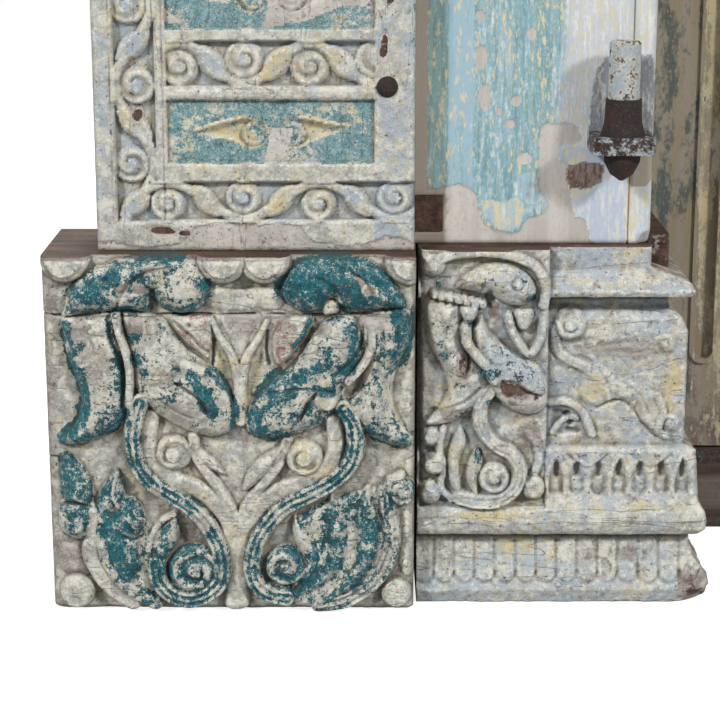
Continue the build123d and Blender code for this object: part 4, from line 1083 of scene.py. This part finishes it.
def base_beast(carving):
    """The face beside the tile: a knob, a long curling beast in low relief, and a fan."""
    carving.volute((151, 276), 16, 7, pitch=13, boss=5, turn=-1, groove=3.5)
    carving.stroke([(136, 272), (138, 254), (150, 242), (166, 234), (180, 220), (190, 206)], 5, 4)
    carving.pillow([(168, 238), (184, 236), (201, 224), (221, 219), (236, 206), (240, 186), (232, 172),
                    (222, 180), (210, 196), (196, 202), (180, 196), (166, 200), (160, 214)], 3.5, 12)
    carving.cut([(160, 246), (174, 238), (186, 222), (192, 206)], 1.8, 1.8)
    carving.cut([(196, 224), (208, 216), (220, 206), (228, 190)], 1.8, 1.6)
    carving.cut([(178, 194), (196, 202), (212, 196), (222, 180), (236, 166)], 2, 2.2)
    carving.cut([(196, 246), (206, 236), (212, 224)], 1.6, 1.2)
    carving.stroke([(236, 206), (242, 190), (238, 172), (246, 166)], 4, 4)
    carving.volute((242, 257), 12, 2.5, pitch=12, boss=3, groove=2.2)
    carving.volute((249, 178), 11, 4.5, pitch=11, boss=4, groove=3)
    carving.stroke([(133, 200), (150, 200), (165, 189), (174, 168)], 4, 6)
    carving.sink([(134, 192), (150, 192), (160, 182), (164, 168), (136, 168)], 3, 4)
    carving.stroke([(136, 170), (146, 182), (158, 184)], 3, 4)
    carving.cut([(150, 188), (154, 180)], 4, 5)
    carving.cut([(150, 172), (160, 170)], 3, 4)
    carving.dab((200, 252), (44, 9), bare=0.36)
    carving.dab((170, 214), (14, 18), pale=0.3)
    carving.dab((250, 216), (8, 34), pale=0.34)
    carving.dab((222, 210), (22, 12), blue=0.2)
    carving.dab((196, 290), (60, 8), blue=0.2)


def base_bands(carving):
    """Petals on the band in threes, and reeds with rounded feet on the flare below the torus."""
    for start in (140, 201, 262):
        arch = [(start - 9, 110), (start - 9, 128), (start, 148), (start + 9, 128), (start + 9, 110)]
        carving.sink(arch, 4, 5)
        carving.stroke(arch, 2.2, 1.6)
        carving.cut([(start, 138), (start, 128)], 3.5, 2.5)
        for centre in (start + 20, start + 41):
            if centre > 262:
                continue
            carving.sink([(centre - 7, 110), (centre - 10, 124), (centre - 6, 138), (centre, 142),
                          (centre + 6, 138), (centre + 10, 124), (centre + 7, 110)], 5, 5)
            carving.cut([(centre, 138), (centre, 129)], 4.5, 3.5)
            carving.cut([(centre - 8, 116), (centre, 109), (centre + 8, 116)], 1.6, 1.6)
        carving.cut([(start + 11, 149), (start + 30, 135), (start + 50, 149)], 2, 2)
    carving.cut([(-10, 67), (300, 67)], 4, 5)
    carving.cut([(120, 301), (300, 301)], 3, 4)
    for place in range(14):
        foot = 2 + 20 * place
        carving.cut([(foot, 68), (foot, 30), (foot + 3, 23), (foot + 10, 20), (foot + 17, 23),
                     (foot + 20, 30)], 2.4, 1.9)
    for centre in ((92, 56), (112, 58), (60, 50), (136, 54)):
        carving.dab(centre, (9, 12), pale=0.3, blue=-0.1)
    carving.dab((200, 46), (26, 12), bare=0.22)
    carving.dab((150, 10), (110, 5), pale=0.25)


def base_carving(u, v):
    """The carving over the base's moulded outline: its heights and paint, where the tile is, and its rim."""
    carving = Carving(u, v)
    in_tile = (u > TILE_OUTER) & (u < TILE_INNER) & (v > TILE_FOOT)
    tile_bird(carving)
    tile_edge = np.minimum(np.minimum(u - TILE_OUTER, TILE_INNER - u), v - TILE_FOOT - 3 * np.cos(u / 6.3))
    beside = Carving(u, v)
    base_beast(beside)
    base_bands(beside)
    carving.lay(..., ~in_tile, height=beside.height, teal=0, bare=beside.bare, pale=beside.pale)
    carving.height += 2.2 * (rough(u, v, 15, 41) - 0.5) + 1.4 * (rough(u, v, 5, 42) - 0.5)
    carving.height += 0.7 * (rough(u, v, 2.6, 43) - 0.5)
    carving.pale += 0.18 * (rough(u, v, 40, 44) - 0.3)
    carving.blue += 0.22 * (rough(u, v, 46, 45) - 0.5)
    carving.dab((276, 16), (16, 20), bare=0.62)
    carving.dab((266, 342), (16, 12), bare=0.9)
    carving.dab((70, 92), (60, 5), pale=0.35)
    carving.dabs((((200, 98), (60, 5)), ((140, 318), (90, 4))), pale=0.3)
    return carving, in_tile, tile_edge


def base_stub(side):
    """The rough stub of bare timber beside the base's neck, lumpy on its face."""
    name = "base_stub_" + SIDE_NAMES[side]
    width = STUB_OUTER - STUB_INNER
    u, v = np.meshgrid(np.linspace(0, width, 31), np.linspace(STUB_FOOT, STUB_TOP, 25))
    carving = Carving(u, v)
    carving.bare += 0.7 + 0.25 * (rough(u, v, 8, 51) - 0.5)
    carving.height += 5 * (rough(u, v, 13, 52) - 0.5) + 3 * (rough(u, v, 5, 53) - 0.5)
    depth = STUB_FRONT + 3 - carving.height
    depth += 6 * np.clip(1 - np.minimum(np.minimum(u, width - u), STUB_TOP - v) / 6, 0, 1) ** 2
    layers = paint_layers(carving, depth, u.shape, 1.5)
    piece = carved_timber(name, side, STUB_OUTER, u, v, depth, BASE_BACK - 2, layers, BASE_PAINT,
                          side_bare=0.9)
    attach(piece, "frame")


def base_front(v_line, step):
    """The base's front from its outer edge to the mitred corner, with the tile let into it."""
    straight = np.linspace(0, BASE_OUTER - BASE_STRAIGHT, int((BASE_OUTER - BASE_STRAIGHT) / step) + 1)
    turned = np.linspace(0, 1, int(TURNED_WIDTH / step) + 1)[1:]
    corner = (DOORWAY_EDGE - base_reach(v_line, INTO_DOORWAY))[:, None]
    x_straight = np.tile(BASE_OUTER - straight, (len(v_line), 1))
    x = np.hstack([x_straight, BASE_STRAIGHT + (corner - BASE_STRAIGHT) * turned])
    v = np.tile(v_line[:, None], (1, x.shape[1]))
    u = BASE_ORIGIN - x
    carving, in_tile, tile_edge = base_carving(u, v)
    face = (JAMB_DEPTH - base_reach(v_line, BEFORE_JAMB))[:, None] - carving.height
    tile = TILE_DEPTH - carving.height + 6 * (1 - rounded(tile_edge / 5))
    depth = np.where(in_tile, np.minimum(tile, face + 4), face)
    depth = depth + 4 * np.clip(1 - (x - corner) / 6, 0, 1) ** 2
    chip = np.clip(1 - np.hypot((x - corner) / 26, v / 40), 0, 1) * (0.4 + rough(u, v, 9, 46))
    depth = np.minimum(depth + 16 * chip, BASE_BACK - 40)
    return carving, x, v, depth, corner, chip


def base_doorway_side(v_line, corner, corner_depth, corner_chip, step):
    """The base's side in the doorway, lumpy from the mitred corner to the back."""
    share = np.linspace(0, 1, int((BASE_BACK - JAMB_DEPTH) / (2.2 * step)))[1:]
    depth = corner_depth + (BASE_BACK - corner_depth) * share
    v = np.tile(v_line[:, None], (1, len(share)))
    lumps = 1.6 * (rough(depth, v, 12, 47) - 0.5) + 0.9 * (rough(depth, v, 4, 48) - 0.5)
    x = corner + np.where(share < 1, lumps + 0.8, 0)
    x += 8 * corner_chip * np.exp(-share * 7)
    return x, v, depth


def base_fronts(side, step):
    """The base's front and doorway side: one sheet that turns the mitred corner."""
    node = "base_block_" + SIDE_NAMES[side]
    v_line = np.linspace(0, BASE_TOP, int(BASE_TOP / step) + 1)
    carving, x, v, depth, corner, chip = base_front(v_line, step)
    corner_depth = depth[:, -1:]
    side_x, side_v, side_depth = base_doorway_side(v_line, corner, corner_depth, chip[:, -1:], step)
    front = np.stack([side * x, FRONT_Y + depth, v], axis=-1)
    doorway = np.stack([side * side_x, FRONT_Y + side_depth, side_v], axis=-1)
    sheet = np.concatenate([front, doorway], axis=1)
    shape = sheet.shape[:2]
    for paint in PAINTS:
        plain = np.full(side_x.shape, DOORWAY_SIDE_BARE if paint == "bare" else 0.0)
        setattr(carving, paint, np.hstack([getattr(carving, paint), plain]))
    level = np.hstack([depth, np.tile(corner_depth, (1, side_x.shape[1]))])
    layers = paint_layers(carving, level, shape, step)
    points = sheet.reshape(-1, 3)
    behind = points[rim_order(*shape)].copy()
    at_back = np.abs(behind[:, 1] - FRONT_Y - BASE_BACK) < 0.01
    behind[:, 1] = FRONT_Y + BASE_BACK
    behind[at_back, 0] += side * 6
    piece = closed_timber(node + "_carved", points, shape, layers, behind, BASE_PAINT, side == RIGHT,
                          side_bare=0.8)
    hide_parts(node)
    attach(piece, "frame")


def bases():
    """Both base blocks, each with the stub beside its neck."""
    for side, step in BASE_STEPS.items():
        base_fronts(side, step * COARSER)
        base_stub(side)


# Post: a running vine up its border and across its foot, and a ladder of panels.
# Across is counted from just outside the post's outer edge, and up from the plinth's top.

POST_OUTER = box_face("post_right", HIGH, X)
POST_WIDTH = POST_OUTER - box_face("post_right", LOW, X)
POST_FOOT = box_face("post_right", LOW, Z)
POST_HEIGHT = box_face("post_right", HIGH, Z) - POST_FOOT
POST_DEPTH = box_face("post_right", LOW, Y) - FRONT_Y
POST_BACK = box_face("post_right", HIGH, Y) - FRONT_Y
POST_MARGIN = 2
POST_STEPS = {LEFT: 2.0, RIGHT: 3.0}
# The photo ends this far above the post's foot, so the rows are wider from here up
POST_SEEN = 300
PANEL_PITCH = 124
PANEL_FIRST = 82
PANEL_HEIGHT = 61
PANEL_LEFT = 70
PANEL_RIGHT = 262
BORDER_LEFT = 20
BORDER_RIGHT = 61
FOOT_LOW = 28
FOOT_HIGH = 67
FOOT_START = 52
SCROLL_LOW = 71
SCROLL_HIGH = 115
VINE_RELIEF = 8
VINE_SWING = 17
LEAF_REACH = (13.0, -15.0)


def vine(along, across, pitch, width, spiral_turn=1):
    """Shares of height, leaf and spiral's eye of a running vine: in each turn a spiral on one side, with the
    stem swung to the other as a cosine of the way along, and a leaf where the stem crosses the middle."""
    scale = width / 40
    turn = np.round(along / pitch)
    flip = 1 - 2 * (turn % 2)
    p = (along - turn * pitch) / scale
    q = across * flip / scale
    span = pitch / scale
    wave = VINE_SWING * np.cos(math.pi * p / span)
    slope = VINE_SWING * math.pi / span * np.sin(math.pi * p / span)
    from_stem = np.abs(q - wave) / np.sqrt(1 + slope**2)
    stem = rounded((1 - from_stem / 5) * 1.4)
    away = np.hypot(p, q + 3)
    angle = spiral_turn * flip * np.arctan2(q + 3, p) / (2 * math.pi)
    ring = 0.5 + 0.5 * np.cos(2 * math.pi * (away / 11 - angle))
    ring = np.where(away < 5, 1, ring)
    eye = eased(away, 8, 4)
    spiral = rounded((17 - away) / 6) * (0.5 + 0.5 * ring)
    crossing = np.round(along / pitch - 0.5)
    leaf_flip = 1 - 2 * (crossing % 2)
    p_leaf = (along - (crossing + 0.5) * pitch) / scale
    q_leaf = across * leaf_flip / scale
    length = math.hypot(*LEAF_REACH) * 2
    way = (p_leaf * LEAF_REACH[0] + q_leaf * LEAF_REACH[1]) / (length / 2)
    aside = np.abs(p_leaf * LEAF_REACH[1] - q_leaf * LEAF_REACH[0]) / (length / 2)
    share = np.clip(way / length + 0.5, 0, 1)
    half = 10.5 * np.sin(math.pi * share) ** 0.7 + 0.01
    leaf = rounded((1 - aside / half) * 1.3) * (np.abs(way) < length / 2)
    hollow = leaf * np.clip(1 - aside / 6, 0, 1)
    return np.maximum(np.maximum(stem * 0.9, spiral), leaf - 0.22 * hollow), leaf, eye


def post_vines(carving, level, panels):
    """The vines up the border, across the foot and between the panels, each in a sunk band."""
    u = carving.u
    v = carving.v
    foot = (u > FOOT_START) & (v > FOOT_LOW) & (v < FOOT_HIGH)
    border = (u > BORDER_LEFT) & (u < BORDER_RIGHT) & (v > FOOT_LOW) & ~foot
    between = panels & (level > SCROLL_LOW) & (level < SCROLL_HIGH)
    upright = vine(v - 82, u - (BORDER_LEFT + BORDER_RIGHT) / 2 + 1, 73, 41)
    along_foot = vine(u - 69, v - 47.5, 70.5, 39, -1)
    across_band = vine(u - 82, level - 93, 60, 43, -1)
    tint = rough(u, v, 44, 60)
    creamy = 0.5 * np.clip(tint - 0.35, 0, 1)
    bluish = 0.5 * np.clip(0.72 - tint, 0, 1)
    for region, (form, leaf, eye), gap in (
            (border, upright, np.minimum(u - BORDER_LEFT, BORDER_RIGHT - u)),
            (foot, along_foot, np.minimum(v - FOOT_LOW, FOOT_HIGH - v)),
            (between, across_band, np.minimum(level - SCROLL_LOW, SCROLL_HIGH - level))):
        carving.lay(..., region, height=VINE_RELIEF * form - VINE_RELIEF * eased(gap, 0, 3))
        carving.pale += np.where(region, 0.08 + leaf * (0.05 + creamy), 0)
        carving.blue += np.where(region, 0.2 * (1 - form) + 0.26 * eye + leaf * bluish, 0)


def panel_eye(carving, base):
    """The sunk panel's motif: two round buds, each in a hollow that tapers away to a point."""
    turns = np.arange(0, 2 * math.pi, 0.9)
    for across, up, reach, rise in ((150, 28, -54, 1), (186, 28, 51, 5)):
        side = math.copysign(1, reach)
        up += base
        hollow = [(across + reach, up + rise), (across + 34 * side, up + 8), (across + 13 * side, up + 14),
                  (across - 4 * side, up + 14), (across - 14 * side, up + 3), (across - 9 * side, up - 10),
                  (across + 5 * side, up - 13), (across + 22 * side, up - 5)]
        carving.sink(hollow, 3.5, 5, pale=0.22, teal=0.3)
        carving.pillow(oval((across, up), 11, 11, turns), 1.5, 4, teal=0.42, pale=0.1)
        carving.cut(oval((across, up), 6, 6, turns), 1.6, 1.6, closed=True)
        carving.stroke([(across + reach, up + rise + 3), (across + 32 * side, up + 11),
                        (across + 8 * side, up + 16)], 2, 1.6, pale=0.5, teal=0.05)


def post_panels(carving, level, panels):
    """The sunk panels: teal in clouds, worn down to primer on every second one, with a motif on each."""
    u = carving.u
    v = carving.v
    panel = panels & (level < PANEL_HEIGHT)
    from_ends = np.minimum(level, PANEL_HEIGHT - level)
    from_edge = np.minimum(np.minimum(u - PANEL_LEFT, PANEL_RIGHT - u), from_ends)
    cloud = rough(u, v / 0.7, 30, 61)
    carving.lay(..., panel, height=-4.5 * eased(from_ends, 0, 2.5),
                teal=0.50 + 0.5 * (cloud - 0.5) + 0.12 * eased(from_edge, 0, 8))
    carving.blue += np.where(panel, 0.25 * (rough(u, v, 34, 67) - 0.3), 0)
    carving.pale += np.where(panel, 0.12, 0)
    second = np.floor((v - PANEL_FIRST) / PANEL_PITCH) % 2 == 1
    worn = panel & second & (level > 14 + 8 * np.sin(u / 17)) & (rough(u, v, 36, 68) > 0.38)
    carving.lay(..., worn, bare=0.52, teal=0.05)
    motifs = Carving(u, v)
    for place in range(int((POST_HEIGHT - PANEL_FIRST - PANEL_HEIGHT) / PANEL_PITCH) + 1):
        panel_eye(motifs, PANEL_FIRST + PANEL_PITCH * place)
    touched = panel & (motifs.height != 0) & ~worn
    carving.height += motifs.height * panel
    carving.lay(..., touched, teal=motifs.teal)
    carving.pale += motifs.pale * touched
    between_buds = panel & (np.abs(u - 172 - 0.2 * (level - 15)) < 10) & (level < 34) & (level > 3)
    carving.lay(..., between_buds, teal=0.1, bare=0.5)


def post_carving(u, v):
    """Depth of the post's front behind the foremost carving, and its paint."""
    carving = Carving(u, v)
    panels = (u > PANEL_LEFT) & (u < PANEL_RIGHT) & (v > PANEL_FIRST)
    level = (v - PANEL_FIRST) % PANEL_PITCH
    post_vines(carving, level, panels)
    post_panels(carving, level, panels)
    carving.height += np.where(panels & (np.abs(level - 66) < 4), 1.0, 0)
    groove = np.clip(1 - np.abs(u - 17.5) / 1.6, 0, 1) + np.clip(1 - np.abs(u - 66) / 1.5, 0, 1)
    carving.height -= 2.5 * groove * (v > 30)
    carving.height += 1.6 * (rough(u, v, 16, 62) - 0.5) + 0.9 * (rough(u, v, 5, 63) - 0.5)
    carving.height += 0.5 * (rough(u, v, 2.6, 64) - 0.5)
    stile = u > PANEL_RIGHT
    carving.blue += 0.22 * stile + 0.2 * (u < 18)
    carving.pale += np.where(stile, 0.12 * (rough(u, v / 5, 9, 69) - 0.3), 0)
    carving.lay(..., stile & (v > 190) & (u > 270), teal=0.32 + 0.5 * (rough(u, v / 6, 8, 70) - 0.5))
    carving.patch([(-4, -4), (-4, 8), (14, 10), (34, 6), (56, 4), (76, 8), (86, 14), (96, 24), (120, 27),
                   (150, 25), (178, 27), (196, 22), (204, 10), (236, 6), (262, 10), (276, 14), (292, 12),
                   (292, -4)], step=1.2, bare=0.55)
    carving.dabs((((64, 20), (13, 4)), ((84, 18), (5, 3))), bare=1.1)
    carving.dabs((((43, 128), (6, 7)), ((38, 148), (3, 3)), ((270, 190), (6, 14)), ((276, 235), (5, 8))),
                 bare=0.75)
    return carving, POST_DEPTH - np.minimum(carving.height, 1.5)


def post_front(side, step):
    """The carved post, with closer rows where the photo looks and wider rows above."""
    node = "post_" + SIDE_NAMES[side]
    across = np.linspace(0, POST_WIDTH, int(POST_WIDTH / step) + 1)
    close = np.arange(0, POST_SEEN, 0.8 * step)
    above = np.linspace(POST_SEEN, POST_HEIGHT, int((POST_HEIGHT - POST_SEEN) / (1.8 * step)) + 1)
    u_block, v = np.meshgrid(across, np.concatenate([close, above]))
    u = u_block + POST_MARGIN
    carving, depth = post_carving(u, v)
    from_side = np.minimum(u_block, POST_WIDTH - u_block)
    depth += 4 * np.clip(1 - from_side / (3 + 3 * rough(u, v, 15, 66)), 0, 1) ** 2
    depth += 3 * np.clip(1 - v / 5, 0, 1) ** 2
    layers = paint_layers(carving, depth, u.shape, step)
    piece = carved_timber(node + "_carved", side, POST_OUTER, u_block, v + POST_FOOT, depth, POST_BACK,
                          layers, POST_PAINT, side_bare=0.5)
    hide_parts(node)
    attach(piece, "frame")


def posts():
    """Both carved posts."""
    for side, step in POST_STEPS.items():
        post_front(side, step * COARSER)


# Jamb: brushed paint worn through to primer in patches, around the pintle and over its foot, darkened in part
# as painted shadow of the post and the pintle.
# Across is counted from just outside the jamb's outer edge, and up from the base's top.

JAMB_OUTER = box_face("jamb_right", HIGH, X)
JAMB_WIDTH = JAMB_OUTER - DOORWAY_EDGE
JAMB_FOOT = box_face("jamb_right", LOW, Z)
JAMB_HEIGHT = box_face("jamb_right", HIGH, Z) - JAMB_FOOT
JAMB_BACK = box_face("jamb_right", HIGH, Y) - FRONT_Y
JAMB_MARGIN = 1
JAMB_STEPS = {LEFT: 1.8, RIGHT: 2.8}
# The photo ends this far above the jamb's foot, so the rows are wider from here up
JAMB_SEEN = 245
PAST_TOP = JAMB_HEIGHT + 9
BEAD_LINE = 205
PEG_SPANS = ((13, 47), (1360, 1394))
PEG_ACROSS = (1.5, 29)
# Chips above the photo's edge are spread by steps of the golden ratio across and of another share upwards
CHIP_COUNT = 26
CHIP_SHARES = (0.618, 0.377)
HEXAGON = np.linspace(0, 2 * math.pi, 7)[:-1]


def jamb_paint_areas(carving):
    """The worn areas: primer along the foot and beside the pintle, blue left at the doorway corner, and a
    dark share laid partly as painted shadow beside the post and around and under the pintle.
    """
    u = carving.u
    v = carving.v
    shade = rough(u, v / 6, 22, 81)
    carving.teal += np.where(u < 32, 0.66, np.where(u < 57, 0.36, 0.55)) + 0.2 * (shade - 0.5)
    lean = 0.1 * (v - 115)
    fade = eased(u - 14 * (rough(u, v, 40, 82) - 0.5), 122 + lean, 150 + lean)
    carving.teal *= 1 - 0.75 * fade
    carving.blue += np.where(u < 57, 0.78, 0.62) - 0.08 * fade
    carving.pale += 0.37 + 0.16 * (rough(u, v / 3, 18, 83) - 0.5) + 0.04 * fade
    carving.bare += 0.13
    # These two strips lie where the post casts its shadow: their dark share, over real taupe primer and teal,
    # is partly painted shadow
    carving.patch([(-4, -6), (-4, 300), (-4, PAST_TOP), (11, PAST_TOP), (13, 300), (14, 60), (14, -6)],
                  bare=0.9, pale=0.3, teal=0.1, red=0.3, blue=0.2)
    carving.patch([(13, -6), (13, 300), (13, PAST_TOP), (31, PAST_TOP), (31, 300), (31, -6)],
                  teal=0.75, red=0.3, blue=0.3, pale=0.42)
    # Painted shadow of the pintle: darker blue-grey and primer on both sides of it, from its plate up to near
    # its top
    carving.patch([(169, 95), (169, 160), (177, 174), (188, 180), (214, 180), (226, 170), (228, 95)],
                  blue=0.62, red=0.3, bare=0.36, pale=0.2)
    carving.patch([(-6, -8), (-6, 45), (31, 55), (42, 59), (52, 56), (60, 47), (63, 30), (72, 18), (93, 11),
                   (104, 14), (108, 24), (120, 28), (129, 39), (120, 55), (118, 72), (118, 97), (122, 114),
                   (132, 116), (149, 115), (156, 108), (157, 98), (139, 93), (138, 83), (147, 76), (147, 55),
                   (153, 30), (164, 22), (170, 5), (168, -8)], step=0.7, bare=1.0)
    carving.patch([(66, 38), (70, 44), (84, 40), (98, 44), (106, 36), (104, 22), (92, 14), (78, 18)],
                  pale=0.5, teal=0.1)
    carving.patch([(98, 50), (102, 68), (116, 66), (118, 52), (124, 44), (112, 40)],
                  pale=0.3, teal=0.1, bare=0.30)
    carving.patch([(140, 96), (152, 97), (160, 92), (178, 92), (178, 78), (150, 77), (139, 82)],
                  bare=0.1, teal=0.05, blue=0.8)
    # Bare brown timber below the plate's left, darkened in part as painted shadow of the plate
    carving.patch([(147, 76), (178, 78), (180, 66), (172, 57), (150, 54)], red=0.85)
    carving.patch([(153, 41), (165, 48), (176, 58), (195, 63), (204, 57), (204, 2), (172, 2), (166, 22),
                   (155, 30)], blue=0.6, teal=0.02, pale=0.2, bare=0.22)
    carving.patch([(203, 60), (209, 60), (209, 0), (203, 0)], pale=0.5, blue=0.3, teal=0.0)
    # Bare timber below the plate's right, darkened in part as painted shadow of the plate
    carving.patch([(204, 88), (226, 88), (226, 60), (204, 58)], bare=0.8, red=0.25)
    for centre, radii in (
            ((62, 216), (4, 5)), ((63, 177), (6, 11)), ((67, 139), (6, 13)), ((96, 137), (4, 5)),
            ((109, 199), (4, 6)), ((92, 115), (4, 4)), ((105, 83), (8, 6)), ((80, 128), (3, 4))):
        carving.patch(oval(centre, *radii, HEXAGON), step=0.4, bare=0.85)
    for place in range(CHIP_COUNT):
        centre = (20 + 190 * ((place * CHIP_SHARES[0]) % 1), 260 + 1180 * ((place * CHIP_SHARES[1]) % 1))
        carving.patch(oval(centre, 5 + place % 5, 9 + place % 17, HEXAGON), step=0.4, bare=0.8)


def jamb_front(side, step):
    """The jamb's front with its bead line, its rounded doorway edge and the sinkings for the pegs."""
    node = "jamb_" + SIDE_NAMES[side]
    across = np.linspace(0, JAMB_WIDTH, int(JAMB_WIDTH / step) + 1)
    close = np.arange(0, JAMB_SEEN, 0.9 * step)
    above = np.linspace(JAMB_SEEN, JAMB_HEIGHT, int((JAMB_HEIGHT - JAMB_SEEN) / (3.5 * step)) + 1)
    u_block, v = np.meshgrid(across, np.concatenate([close, above]))
    u = u_block + JAMB_MARGIN
    carving = Carving(u, v)
    jamb_paint_areas(carving)
    carving.height += 0.8 * (rough(u, v / 5, 20, 84) - 0.5) + 0.3 * (rough(u, v, 4, 85) - 0.5)
    carving.height -= 3.5 * np.clip(1 - np.abs(u - BEAD_LINE) / 2.0, 0, 1)
    for low, high in PEG_SPANS:
        peg = (u > PEG_ACROSS[0]) & (u < PEG_ACROSS[1]) & (v > low - 1) & (v < high + 1)
        carving.lay(..., peg, height=-3.0)
    depth = JAMB_DEPTH - np.minimum(carving.height, 0.8)
    to_doorway = JAMB_WIDTH - u_block
    depth += 6 * (1 - rounded(to_doorway / 6)) + 3 * np.clip(1 - v / 5, 0, 1) ** 2
    depth += 14 * np.clip(1 - np.hypot(to_doorway / 14, v / 14), 0, 1)
    layers = paint_layers(carving, depth, u.shape, step)
    piece = carved_timber(node + "_painted", side, JAMB_OUTER, u_block, v + JAMB_FOOT, depth, JAMB_BACK,
                          layers, JAMB_PAINT, side_bare=0.35)
    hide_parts(node)
    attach(piece, "frame")


def jambs():
    """Both painted jambs."""
    for side, step in JAMB_STEPS.items():
        jamb_front(side, step * COARSER)


def repaint(nodes, material):
    """Give plain pieces of the frame their finish."""
    for node in nodes:
        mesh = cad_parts[node].data
        mesh.materials.clear()
        mesh.materials.append(material)


def both_sides(*names):
    """The left and right nodes of each name."""
    return [name + "_" + side for name in names for side in SIDE_NAMES.values()]


def plain_pieces():
    """The pieces that keep their CAD meshes."""
    repaint(["lintel", "head_board", "cornice"], HEAD_PAINT)
    repaint(both_sides("capital"), CAPITAL_PAINT)
    repaint(["sill", "pivot_rail"], SILL_WOOD)
    repaint(["jamb_pegs"], PEG_WOOD)
    fittings = both_sides("pintle_collar", "pintle_finial", "sill_cup", "head_bush", "pivot_shoe",
                          "ring_rose", "ring_staple", "ring_pull")
    repaint(["frame_nails"] + fittings, IRONWORK)
    repaint(both_sides("pintle_plate"), PLATE_IRON)
    repaint(both_sides("pintle_pin"), PIN_PAINT)
    repaint(both_sides("hanging_stile", "meeting_stile", "bottom_rail", "lock_rail", "upper_rail", "top_rail",
                       "lower_panel", "middle_panel", "upper_panel"), LEAF_PAINT)


# Camera, light and floor

CAMERA_PLACE = (-0.703, -1.9855, 0.7146)
CAMERA_PITCH = 14.3
CAMERA_LENS = 100
CAMERA_SENSOR = 36
LAMP_POWER = 940
LAMP_SIZE = 1.4
LAMP_TARGET = (-0.7, 0, 0.5)
LAMP_LEFT = (-7.7, -7.2, 6.7)
LAMP_RIGHT = (7.1, -7.2, 6.7)
BACK_LAMP = {"place": (0, 4.0, 3.5), "target": (0, 0, 1.0), "size": 2.5, "power": 160}
SKY_STRENGTH = 0.20
FLOOR_GLOW = 0.85
FLOOR_GREY = 0.35
FLOOR_HALF_WIDTH = 6.0
FLOOR_GAP = 0.0005


def camera():
    """The photo's view: level with the post's lower panels and tilted down a little."""
    data = bpy.data.cameras.new("view")
    data.lens = CAMERA_LENS
    data.sensor_width = CAMERA_SENSOR
    data.sensor_fit = "HORIZONTAL"
    data.clip_end = 50
    made = bpy.data.objects.new("view", data)
    made.location = CAMERA_PLACE
    made.rotation_euler = (math.radians(90 - CAMERA_PITCH), 0, 0)
    bpy.context.scene.collection.objects.link(made)
    bpy.context.scene.camera = made


def soft_lamp(name, place, target, size, power):
    """A square soft lamp that faces a point."""
    data = bpy.data.lights.new(name, "AREA")
    data.shape = "SQUARE"
    data.size = size
    data.energy = power
    made = bpy.data.objects.new(name, data)
    made.location = place
    aim = np.array(target) - np.array(place)
    flat = math.hypot(aim[0], aim[1])
    made.rotation_euler = (math.atan2(flat, -aim[2]), 0, math.atan2(-aim[0], aim[1]))
    bpy.context.scene.collection.objects.link(made)


def direct_look(tree):
    """1 where a surface is looked at, directly, mirrored or through glass, and 0 where it only lights."""
    rays = tree.nodes.new("ShaderNodeLightPath")
    seen = rays.outputs["Is Camera Ray"]
    for name in ("Is Glossy Ray", "Is Transmission Ray"):
        either = tree.nodes.new("ShaderNodeMath")
        either.operation = "MAXIMUM"
        tree.links.new(seen, either.inputs[0])
        tree.links.new(rays.outputs[name], either.inputs[1])
        seen = either.outputs[0]
    return seen


def lights():
    """A lamp high on each side of the front, a weak one behind, and a pale sky all round."""
    soft_lamp("lamp_left", LAMP_LEFT, LAMP_TARGET, LAMP_SIZE, LAMP_POWER)
    soft_lamp("lamp_right", LAMP_RIGHT, LAMP_TARGET, LAMP_SIZE, LAMP_POWER)
    soft_lamp("lamp_back", **BACK_LAMP)
    world = bpy.data.worlds.new("sky")
    world.use_nodes = True
    tree = world.node_tree
    background = tree.nodes["Background"]
    strength = tree.nodes.new("ShaderNodeMapRange")
    strength.inputs["To Min"].default_value = SKY_STRENGTH
    strength.inputs["To Max"].default_value = 1.0
    tree.links.new(direct_look(tree), strength.inputs["Value"])
    tree.links.new(strength.outputs[0], background.inputs["Strength"])
    background.inputs["Color"].default_value = (1, 1, 1, 1)
    bpy.context.scene.world = world


def floor():
    """A plain pale floor, at the level that the plinths stand on."""
    half = FLOOR_HALF_WIDTH
    level = cad_box[LOW][Z] - FLOOR_GAP
    points = np.array([(-half, -half, level), (half, -half, level), (half, half, level),
                       (-half, half, level)])
    material = bpy.data.materials.new("floor_pale")
    material.use_nodes = True
    shader = material.node_tree.nodes["Principled BSDF"]
    shader.inputs["Base Color"].default_value = (FLOOR_GREY, FLOOR_GREY, FLOOR_GREY, 1)
    shader.inputs["Roughness"].default_value = 0.9
    shader.inputs["Specular IOR Level"].default_value = 0.1
    shader.inputs["Emission Strength"].default_value = FLOOR_GLOW
    material.node_tree.links.new(direct_look(material.node_tree), shader.inputs["Emission Color"])
    made = add_mesh("floor", points, [(0, 1, 2, 3)], {}, material, 0)


plinths()
bases()
posts()
jambs()
plain_pieces()
camera()
lights()
floor()
bpy.context.scene.view_settings.view_transform = "Standard"
